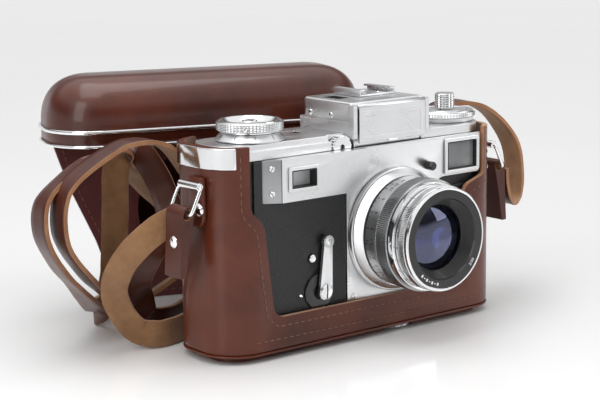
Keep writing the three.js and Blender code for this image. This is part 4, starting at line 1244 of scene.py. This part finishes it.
# %% Aperture ring, with fine knurling and its numbers
stop_ring = spun("stop_ring", [
    (19.6, -33.95), (21.1, -33.95), (21.2, -33.85), (21.2, -32.15), (21.1, -32.05), (19.6, -32.05),
], lens_at(0, 0, 0), steps=128, material=SATIN)
stop_grip = knurled(
    "stop_grip", lens_at(0, 0, 0), (0, 1, 0), 21.5, -37.15, -34.0, 190, 0, 0.22, 19.6, BRUSHED, 0.2
)
stop_marks = []
for k, text in enumerate(("2", "2.8", "4", "5.6", "8", "11", "16", "22")):
    stop_marks.append(wrap(letters(text, 1.55, INK), round_lens(-34 - k * 15, -32.95, 21.2)))
fit(
    join("aperture_ring_marked", stop_ring, stop_grip, *stop_marks), "aperture_control", "chrome_satin",
    "aperture_ring"
)

# %% [markdown]
# The black front ring carries small white marks, and its funnel is cut in fine steps against stray
# light. Behind the front glass lie a second, amber surface, the iris and the far lens.

# %% Front ring, funnel steps and marks
funnel = [
    (16.8, -38.9), (20.2, -38.9), (20.2, -38.5), (17.2, -38.5), (17.2, -33.0), (13.7, -33.0),
    (13.7, -33.6)
]
FUNNEL_STEPS = 6
for k in range(FUNNEL_STEPS):
    share = (k + 1) / (FUNNEL_STEPS + 1)
    radius = 13.7 + (16.8 - 13.7) * share
    y = -33.6 + (-38.9 + 33.6) * share
    funnel += [(radius, y + 0.35), (radius, y)]
front_ring = spun("front_ring", funnel, lens_at(0, 0, 0), steps=128, material=MATT_BLACK)


def on_front(angle, radius, y):
    """Warp for marks on the flat front ring, read from in front."""
    def warp(u, v, d):
        a = math.radians(angle) + u / radius
        r = radius - v
        return lens_at(r * math.sin(a), y - d, -r * math.cos(a))
    return warp


front_marks = [wrap(letters("2/50", 1.9, WHITE_INK), on_front(52, 18.5, -38.92))]
for k in range(7):
    front_marks.append(wrap(tick(0.9, 0.35 if k % 2 else 1.2, WHITE_INK), on_front(-44 + k * 5, 18.5, -38.92)))
fit(join("front_ring_marked", front_ring, *front_marks), "lens_head", "black_paint", "front_bezel")

# %% Front glass, with the inner glass behind it
dome = [
    (0, -35.8), (2.4, -35.72), (4.6, -35.5), (7.0, -35.05), (9.2, -34.4), (11.4, -33.5), (13.3, -32.6),
    (13.3, -32.0), (0, -32.0)
]
front_glass = spun("front_glass", dome, lens_at(0, 0, 0), steps=96, closed=False, material=COATED)
fit(front_glass, "lens_head", "clear_glass", "front_element")
inner_bowl = spun(
    "inner_glass", [(0, -29.2), (3.5, -28.9), (7.5, -27.6), (10.4, -25.6), (10.4, -25.0), (0, -25.0)],
    lens_at(0, 0, 0), steps=96, closed=False, material=AMBER
)
fit(inner_bowl, "lens_head", "clear_glass")
cell_wall = spun("inner_cell_wall", [
    (17.2, -31.9), (13.2, -31.9), (12.4, -30.2), (12.4, -29.4), (11.4, -28.6), (11.4, -27.4), (10.6, -26.6),
    (10.6, -24.6), (17.2, -24.6),
], lens_at(0, 0, 0), steps=96, material=MATT_BLACK)
fit(cell_wall, "lens_head", "black_paint")

# %% Iris blades
blades = []
BLADE_COUNT = 12
for k in range(BLADE_COUNT):
    start = 2 * math.pi * k / BLADE_COUNT
    outline = []
    for step in range(9):
        a = start + step * 0.16
        outline.append((math.cos(a) * 12.4, math.sin(a) * 12.4))
    for step in range(8, -1, -1):
        a = start + step * 0.16 + 0.25
        outline.append((math.cos(a) * (7.6 + step * 0.12), math.sin(a) * (7.6 + step * 0.12)))
    y = -22.6 + 0.05 * (k % 3)
    blades.append(slab("blade", outline, "front", y, y + 0.06, material=MATT_BLACK))
fit(join("iris_blades", *blades), "lens_head", "black_paint")
print("lens made")

# %% [markdown]
# ## The half case
# The lower case is one thick hide, moulded wet over a last: a tray with round ends, cut away at the
# front round the lens and the covering, and stitched along the cut. It is raised from its outline,
# hollowed, and cut with the same curves as the real pattern. The cutters carry the raw-edge finish,
# so every cut shows pale.

# %% Half case
CASE_X0, CASE_X1, CASE_Y0, CASE_Y1, CASE_R = -84, 66.5, -3, 37.5, 16
CASE_Z0, CASE_BACK, HIDE = -43.5, 36.4, 2.2


def case_outline(grow):
    return rounded(CASE_X0 - grow, CASE_X1 + grow, CASE_Y0 - grow, CASE_Y1 + grow, CASE_R + grow, 18)


def turned_in(inset):
    return [at(x, y, 0) for x, y in case_outline(-inset)]


levels = [(3.0, 0.0), (1.6, 0.35), (0.7, 1.0), (0.2, 1.9), (0.0, 3.0), (0.0, 50), (0.0, 84.3)]
half = loft("half_case_leather", [
    [p + Vector((0, 0, CASE_Z0 + up)) * MM for p in turned_in(inset)] for inset, up in levels
], CASE)
hollow = slab("hollow", case_outline(-HIDE), "top", CASE_Z0 + HIDE, 60, material=INSIDE)


def round_corners(points, radii, steps=6):
    """A closed outline with each corner replaced by an arc of its own radius."""
    outline = []
    count = len(points)
    for i, (corner, r) in enumerate(zip(points, radii)):
        p = Vector(corner)
        back = (Vector(points[i - 1]) - p)
        on = (Vector(points[(i + 1) % count]) - p)
        room = min(r, back.length * 0.48, on.length * 0.48)
        a = p + back.normalized() * room
        b = p + on.normalized() * room
        for k in range(steps + 1):
            t = k / steps
            outline.append(tuple(a * (1 - t) ** 2 + p * 2 * t * (1 - t) + b * t ** 2))
    return outline


CUT = [
    (-71, 60), (-71, 16.6), (-69.6, 13.8), (-65.4, 10), (-64.4, 7.6), (-60.4, -26), (-57, -29),
    (38.6, -29), (41.4, -26.4), (43, 8.6), (45.4, 12.6), (51.5, 14.6), (56.4, 16), (57, 60),
]
CUT_RADII = [0.1, 2, 3, 3, 2, 3, 3, 3, 3, 3, 3, 3, 1.5, 0.1]
carve(
    half,
    hollow,
    slab("front_cut", round_corners(CUT, CUT_RADII), "front", -20, 9, material=RAW_EDGE),
    slab("back_cut", rounded(-69.5, 120, -30, 90, 0.5), "top", CASE_BACK, 90, material=RAW_EDGE),
    slab("screw_hole", circle(10, 9.7, 3.6), "top", -60, -40, material=RAW_EDGE),
)
soften(half, 0.45, 3, 50)
fit(half, "camera", "case_leather", "half_case")

# %% [markdown]
# Stitches are one of the small things that make leather look sewn. Each is a short capsule that
# dips into the hide at both ends. They are laid along lines drawn on the case, 3.4 mm apart.

# %% Stitching
STITCH = 3.3


def case_skin_y(x):
    """The front surface's y at x, which curves back at both ends."""
    edge = CASE_X0 + CASE_R if x < 0 else CASE_X1 - CASE_R
    over = edge - x if x < 0 else x - edge
    if over <= 0:
        return CASE_Y0
    return CASE_Y0 + CASE_R - math.sqrt(max(CASE_R ** 2 - over ** 2, 0))


def stitches(name, line, surface, lift=0.08, length=2.3, radius=0.22, finish=THREAD):
    """line: (u, v) corners in mm; surface(u, v) gives the place and the outward direction."""
    points = [Vector(p) for p in line]
    lengths = [(b - a).length for a, b in zip(points, points[1:])]
    total = sum(lengths)
    spots = []
    for k in range(int(total / STITCH)):
        pair = []
        for s in (k * STITCH + 0.5, k * STITCH + 0.5 + length):
            for a, b, span in zip(points, points[1:], lengths):
                if s <= span or b is points[-1]:
                    pair.append(a.lerp(b, min(s / span, 1)))
                    break
                s -= span
        spots.append(pair)
    verts, faces = [], []
    SIDES = 6
    for a, b in spots:
        (pa, na), (pb, nb) = surface(*a), surface(*b)
        along = (pb - pa).normalized()
        out = (na + nb).normalized()
        wide = along.cross(out).normalized()
        first = len(verts)
        shape = ((0.0, 0.35, -0.25), (0.2, 0.9, 0.0), (0.5, 1.0, 0.12), (0.8, 0.9, 0.0), (1.0, 0.35, -0.25))
        for share, fat, rise in shape:
            middle = pa.lerp(pb, share) + out * (lift + rise) * MM
            for k in range(SIDES):
                turn = 2 * math.pi * k / SIDES
                verts.append(middle + (wide * math.cos(turn) + out * math.sin(turn)) * radius * fat * MM)
        for level in range(len(shape) - 1):
            for k in range(SIDES):
                i, j = first + level * SIDES + k, first + level * SIDES + (k + 1) % SIDES
                faces.append((i, j, j + SIDES, i + SIDES))
        faces.append(tuple(first + k for k in range(SIDES))[::-1])
        faces.append(tuple(first + (len(shape) - 1) * SIDES + k for k in range(SIDES)))
    obj = mesh_piece(name, verts, faces=faces)
    tidy(obj, 0.0000001)
    obj.data.materials.append(finish)
    return smooth(obj, 60)


def case_front(x, z):
    y = case_skin_y(x)
    tilt = (at(x + 0.1, case_skin_y(x + 0.1), z) - at(x - 0.1, case_skin_y(x - 0.1), z)).normalized()
    return at(x, y, z), tilt.cross(Vector((0, 0, 1)))


CUT_STITCHES = [
    (-74.6, 37.5), (-74.6, 16.0), (-73.0, 11.6), (-69.0, 7.6), (-68.0, 4.6), (-64.0, -28.0), (-58.6, -32.6),
    (40.2, -32.6), (45.0, -28.0), (46.6, 7.0), (48.6, 9.6), (53, 10.8), (59.6, 12.6), (60.6, 33.0),
]
cut_line = stitches("cut_edge_stitching", CUT_STITCHES, case_front)
base_line = stitches(
    "base_stitching", [(-70, -37.6), (-20, -38.0), (30, -38.0), (58, -37.6)], case_front, radius=0.2
)
fit(join("half_case_stitching", cut_line, base_line), "camera", "case_leather")

# %% Base seam and the sole's edge
seam = slab("base_welt", case_outline(0.25), "top", CASE_Z0 + 0.4, CASE_Z0 + 1.3, material=CASE)
carve(seam, slab("seam_room", case_outline(-0.8), "top", CASE_Z0 - 1, CASE_Z0 + 3, material=CASE))
soften(seam, 0.3, 2)
fit(seam, "camera", "case_leather")

# %% The chromed band round the left end of the case
band = slab("corner_band_chrome", case_outline(0.9), "top", 32.3, 40.6, material=POLISHED)
carve(
    band,
    slab("inside", case_outline(0.2), "top", 20, 60, material=POLISHED),
    slab("right_of_it", rounded(-76.5, 120, -30, 90, 0.3), "top", 0, 90, material=POLISHED),
)
soften(band, 0.3, 3)
fit(band, "camera", "chrome_polished", "corner_band")

# %% Case screw: a knurled knob under the case
screw_low, screw_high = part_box("case_screw")
KNOB = Vector(((screw_low.x + screw_high.x) / 2, (screw_low.y + screw_high.y) / 2, BODY.z))
case_knob = knurled("case_knob", KNOB, (0, 0, 1), 9.15, -45.7, -43.8, 46, 2, 0.3, 6.0, BRUSHED, 0.2)
knob_plate = spun(
    "knob_plate",
    [(0, -45.8), (7.0, -45.8), (7.2, -45.6), (7.2, -43.8), (3.1, -43.8), (3.1, -41.4), (0, -41.4)],
    KNOB, (0, 0, 1), 64, closed=False, material=SATIN
)
fit(join("case_screw_knurled", case_knob, knob_plate), "case_fastener", "chrome_satin", "case_screw")

# %% [markdown]
# ## Rings, tabs and rivets
# A leather lug is riveted to each end of the case. It holds a steel tube with a bent wire, and
# the strap's folded end hangs on the wire and is riveted together.

# %% Lugs, rings and strap ends on both sides
RING_Y, RING_Z, RING_OUT, RING_LENGTH = 13, 26, 4.3, 13.4
for word, side in (("left", -1), ("right", 1)):
    wall = CASE_X0 if side < 0 else CASE_X1
    near, far = sorted((wall + side * 0.2, wall + side * 2.2))
    lug = slab(
        f"lug_{word}", rounded(RING_Y - 4.6, RING_Y + 4.6, 9, 29, [4.5, 4.5, 1, 1], 10), "side", near,
        far, 0.4, 2, CASE
    )
    fit(lug, "camera", "case_leather", f"case_lug_{word}")
    rivet = spun(
        f"rivet_{word}", [(0, 1.5), (1.0, 1.35), (2.0, 0.9), (2.7, 0.2), (2.8, -0.3), (0, -0.3)],
        at(wall + side * 2.1, 10.9, 16.4), (side, 0, 0), 40, closed=False, material=POLISHED
    )
    fit(rivet, "camera", "chrome_polished")
    x = wall + side * RING_OUT
    half_length = RING_LENGTH / 2
    tube = spun("ring_tube", [
        (0, -half_length), (1.35, -half_length), (1.6, -half_length + 0.25), (1.6, half_length - 0.25),
        (1.35, half_length), (0, half_length),
    ], at(x, RING_Y, RING_Z), (0, 1, 0), 32, closed=False, material=POLISHED)
    bend = half_length + 0.6
    loop = [
        (0, 0.8 - bend, 0), (0.4, -bend, -1.2), (1.2, -bend, -2.6), (2.6, -bend, -5.4), (4, -bend, -8.4),
        (4.9, -bend + 0.3, -10.1), (5, -bend + 1.6, -10.4), (5, 0, -10.4), (5, bend - 1.6, -10.4),
        (4.9, bend - 0.3, -10.1), (4, bend, -8.4), (2.6, bend, -5.4), (1.2, bend, -2.6), (0.4, bend, -1.2),
        (0, bend - 0.8, 0),
    ]
    bent = wire(
        "ring_wire", [at(x + side * a, RING_Y + b, RING_Z + c) for a, b, c in loop], 0.85,
        material=POLISHED
    )
    fit(join(f"strap_ring_{word}_bent", tube, bent), f"ring_{word}", "chrome_polished", f"strap_ring_{word}")

    lean = 0.12

    def on_tab(u, y, v, side=side, x=x):
        a = x + side * 5 + u * math.cos(lean) - side * v * math.sin(lean)
        return at(a, y, RING_Z - 10.4 + v * math.cos(lean))

    tab_outline = [
        (3.2 * math.cos(math.radians(d)), 3.2 * math.sin(math.radians(d))) for d in range(0, 181, 15)
    ]
    tab_outline += [
        (-2.6, -6), (-2.0, -14), (-1.5, -24.6), (-1.1, -25), (1.1, -25), (1.5, -24.6), (2.0, -14),
        (2.6, -6)
    ]
    tab_place = lambda u, d, v, lay=on_tab: lay(u, RING_Y + d, v)
    tab = slab(f"tab_{word}", tab_outline, "front", -5.5, 5.5, material=GRAIN, place=tab_place)
    tab.data.materials.append(SUEDE)
    carve(tab, slab("eye", circle(0, 0, 2.1, 24), "front", -20, 20, material=RAW_EDGE, place=tab_place))
    soften(tab, 0.5, 3)
    stud_at = on_tab(side * 2.2, RING_Y, -11)
    stud = spun(
        "tab_stud", [(0, 1.3), (1.0, 1.15), (1.9, 0.7), (2.5, 0), (2.5, -0.6), (0, -0.6)], stud_at,
        (side, 0, 0), 36, closed=False, material=POLISHED
    )
    fit(join(f"strap_end_{word}_folded", tab, stud), "camera", "strap_leather", f"strap_end_{word}")

# %% [markdown]
# ## The lid
# The lid stands behind the camera with its nose turned away. Its top is a smooth glossy dome, its
# rim is bound with two thin chromed trims, and a long front panel with a round nose for the lens
# hangs from it. The inside is lined in dark red.

# %% Lid shell
LID_LENGTH, LID_DEPTH, LID_TOP, LID_BAND = 142, 51, 107.3, 7.4


def lid_ring(inset, z):
    x, y = LID_LENGTH / 2 - inset, LID_DEPTH / 2 - inset
    return [on_lid(u, v, z) for u, v in rounded(-x, x, -y, y, max(22 - inset, 1.5), 14)]


dome_rings = []
for k in range(15):
    a = k / 14 * math.pi / 2
    dome_rings.append((19.5 * (1 - math.cos(a)) ** 1.15, LID_RIM + (LID_TOP - LID_RIM) * math.sin(a) ** 0.92))
shell_rings = [
    (0.3, LID_RIM - LID_BAND), (0.0, LID_RIM - LID_BAND + 0.4), (0.0, LID_RIM - 0.5)
] + dome_rings[:-1]
crown = [(21.5, LID_TOP - 0.02), (23.5, LID_TOP)]
outer = [lid_ring(i, z) for i, z in shell_rings + crown]
inner_rings = [
    (min(i, 20) + 2.2, z - (2.0 if z > LID_RIM + 8 else 1.0 if z > LID_RIM + 2 else 0)) for i,
    z in shell_rings
]
inner_rings[0] = (2.0, LID_RIM - LID_BAND)
inner = [lid_ring(i, z) for i, z in inner_rings]
loops = [inner[-1]] + inner[:-1][::-1] + outer
lid_shell = loft("lid_shell_leather", loops, LID_SKIN)
lid_shell.data.materials.append(LINING)
for face in lid_shell.data.polygons:
    spot = face.center
    level_z = spot.z / MM
    inward = face.normal.dot((Vector((LID_CENTRE.x, LID_CENTRE.y, spot.z)) - spot).normalized()) > 0.15
    if inward or (face.normal.z < -0.5 and level_z > LID_RIM):
        face.material_index = 1
smooth(lid_shell, 50)
fit(lid_shell, "case_lid", "case_leather", "lid_shell")

# %% Chromed trims round the rim
trims = []
for z, high, grow in ((LID_RIM, 1.6, 1.3), (LID_RIM - LID_BAND + 1.0, 1.1, 0.9)):
    rows = []
    for out, up in (
        (0.1, 0.0), (grow * 0.75, 0.0), (grow, 0.25), (grow, 0.75), (grow * 0.75, 1.0), (0.1, 1.0)
    ):
        rows.append(lid_ring(-out, z - high + high * up))
    rows.append(rows[0])
    trims.append(loft("trim", rows, POLISHED, cap=False))
fit(join("lid_trim_chrome", *trims), "case_lid", "chrome_polished", "lid_trim")

# %% Front panel with its round nose
PANEL_OUT = LID_DEPTH / 2 - 0.4
PANEL_EDGE = [
    (28, 0.6), (39.5, 14), (44.6, 29), (50, 41), (55, 52), (60, 66), (64, LID_RIM - LID_BAND - 0.4)
]
panel_outline = [(-x, z) for x, z in PANEL_EDGE[::-1]] + PANEL_EDGE
panel = slab("panel", panel_outline, "front", PANEL_OUT - 2.2, PANEL_OUT, material=LID_SKIN, place=on_lid)
nose_profile = [
    (27.2, -0.2), (26.8, 0.8), (26.4, 4), (25.6, 22), (25.0, 26), (23.4, 29), (21, 30.6), (18, 31), (0, 31),
    (0, 29), (17.6, 29), (20.2, 28.2), (22.4, 26.6), (23.2, 24), (24.4, 4), (24.9, -2.4), (27.2, -2.4),
]
nose_axis = (on_lid(0, 1, 0) - on_lid(0, 0, 0)).normalized()
nose = spun("nose", nose_profile, on_lid(0, PANEL_OUT, 42), tuple(nose_axis), 80, material=LID_SKIN)
carve(panel, slab("nose_hole", circle(0, 42, 26.4, 64), "front", 10, 40, material=LINING, place=on_lid))
carve(panel, nose, operation="UNION")
panel.data.materials.append(LINING)
lining_index = len(panel.data.materials) - 1
for face in panel.data.polygons:
    depth_in = (face.center - on_lid(0, 0, 0)).dot(nose_axis) / MM
    outward = face.normal.dot(nose_axis)
    middle = on_lid(0, 0, 42)
    arm_out = face.center - middle
    arm_out -= nose_axis * arm_out.dot(nose_axis)
    faces_in = face.normal.dot(arm_out) < -0.0001 and arm_out.length < 25.2 * MM and depth_in < PANEL_OUT + 30
    if outward < -0.6 or faces_in:
        face.material_index = lining_index
soften(panel, 0.4, 2, 45)
fit(panel, "case_lid", "case_leather", "lid_front")


def panel_back(u, v):
    return on_lid(u, PANEL_OUT - 2.2, v), -nose_axis


def panel_face(u, v):
    return on_lid(u, PANEL_OUT, v), nose_axis


inset_edge = [(x - 3.4 if x > 31 else x - 1, max(z, 3.6)) for x, z in PANEL_EDGE]
panel_line = [(-x, z) for x, z in inset_edge[::-1]] + inset_edge
panel_threads = [stitches("threads", panel_line, surface) for surface in (panel_face, panel_back)]
fit(join("lid_panel_stitching", *panel_threads), "case_lid", "case_leather")
print("case and lid made")

# %% [markdown]
# ## Studio
# The set is a pale glossy board under three soft lights. The room around it is bright above and at
# the floor, with a darker band between, because chrome in a plain white room looks flat: the band
# gives its rims a dark streak. The floor mirrors the case a little.

# %% Floor
nothing_selected()
bpy.ops.mesh.primitive_plane_add(size=6.0, location=(0, 0, 0))
floor = bpy.context.view_layer.objects.active
floor.name = "studio_floor"
board = Finish("pale_board")
board_tone = board.noise(3.0, 2.0)
board.put(
    Base_Color=board.ramp(board_tone, [(0.2, (0.86, 0.86, 0.86)), (0.8, (0.89, 0.89, 0.89))]),
    Roughness=0.07 + board_tone * 0.03, Specular_IOR_Level=0.5,
)
floor.data.materials.append(board.material)

# %% Surround and lights
world = bpy.data.worlds.new("pale_room")
bpy.context.scene.world = world
world.use_nodes = True
room = world.node_tree.nodes["Background"]
compass = world.node_tree.nodes.new("ShaderNodeTexCoord")
rise = world.node_tree.nodes.new("ShaderNodeSeparateXYZ")
shades = world.node_tree.nodes.new("ShaderNodeValToRGB")
for spot, grey in ((0.0, 0.86), (0.10, 0.80), (0.24, 0.10), (0.42, 0.16), (0.60, 0.95), (1.0, 1.0)):
    stop = shades.color_ramp.elements.new(spot)
    stop.color = (grey, grey, grey, 1)
shades.color_ramp.elements.remove(shades.color_ramp.elements[0])
shades.color_ramp.elements.remove(shades.color_ramp.elements[-1])
world.node_tree.links.new(compass.outputs["Generated"], rise.inputs[0])
world.node_tree.links.new(rise.outputs["Z"], shades.inputs["Fac"])
world.node_tree.links.new(shades.outputs["Color"], room.inputs["Color"])
room.inputs["Strength"].default_value = 1.06


def softbox(name, place, target, width, height, power):
    light = bpy.data.lights.new(name, "AREA")
    light.shape = "RECTANGLE"
    light.size, light.size_y = width, height
    light.energy = power
    lamp = bpy.data.objects.new(name, light)
    bpy.context.scene.collection.objects.link(lamp)
    aim = Vector(target) - Vector(place)
    lamp.matrix_world = Matrix.Translation(place) @ aim.to_track_quat("-Z", "Y").to_matrix().to_4x4()


softbox("overhead_box", (-0.1, 0.1, 0.95), (0, 0, 0.03), 0.9, 0.6, 5.0)
softbox("left_box", (-0.95, -0.25, 0.5), (0, 0, 0.05), 0.4, 0.8, 3.4)
softbox("right_box", (0.75, -0.65, 0.55), (0, 0, 0.05), 0.5, 0.7, 2.2)

# %% [markdown]
# ## Print
# White board and bright chrome lose their difference under a film-like print, so the colours are
# shown as they are worked out.

# %% Show colours without a film look
bpy.context.scene.view_settings.view_transform = "Standard"
bpy.context.scene.view_settings.look = "None"
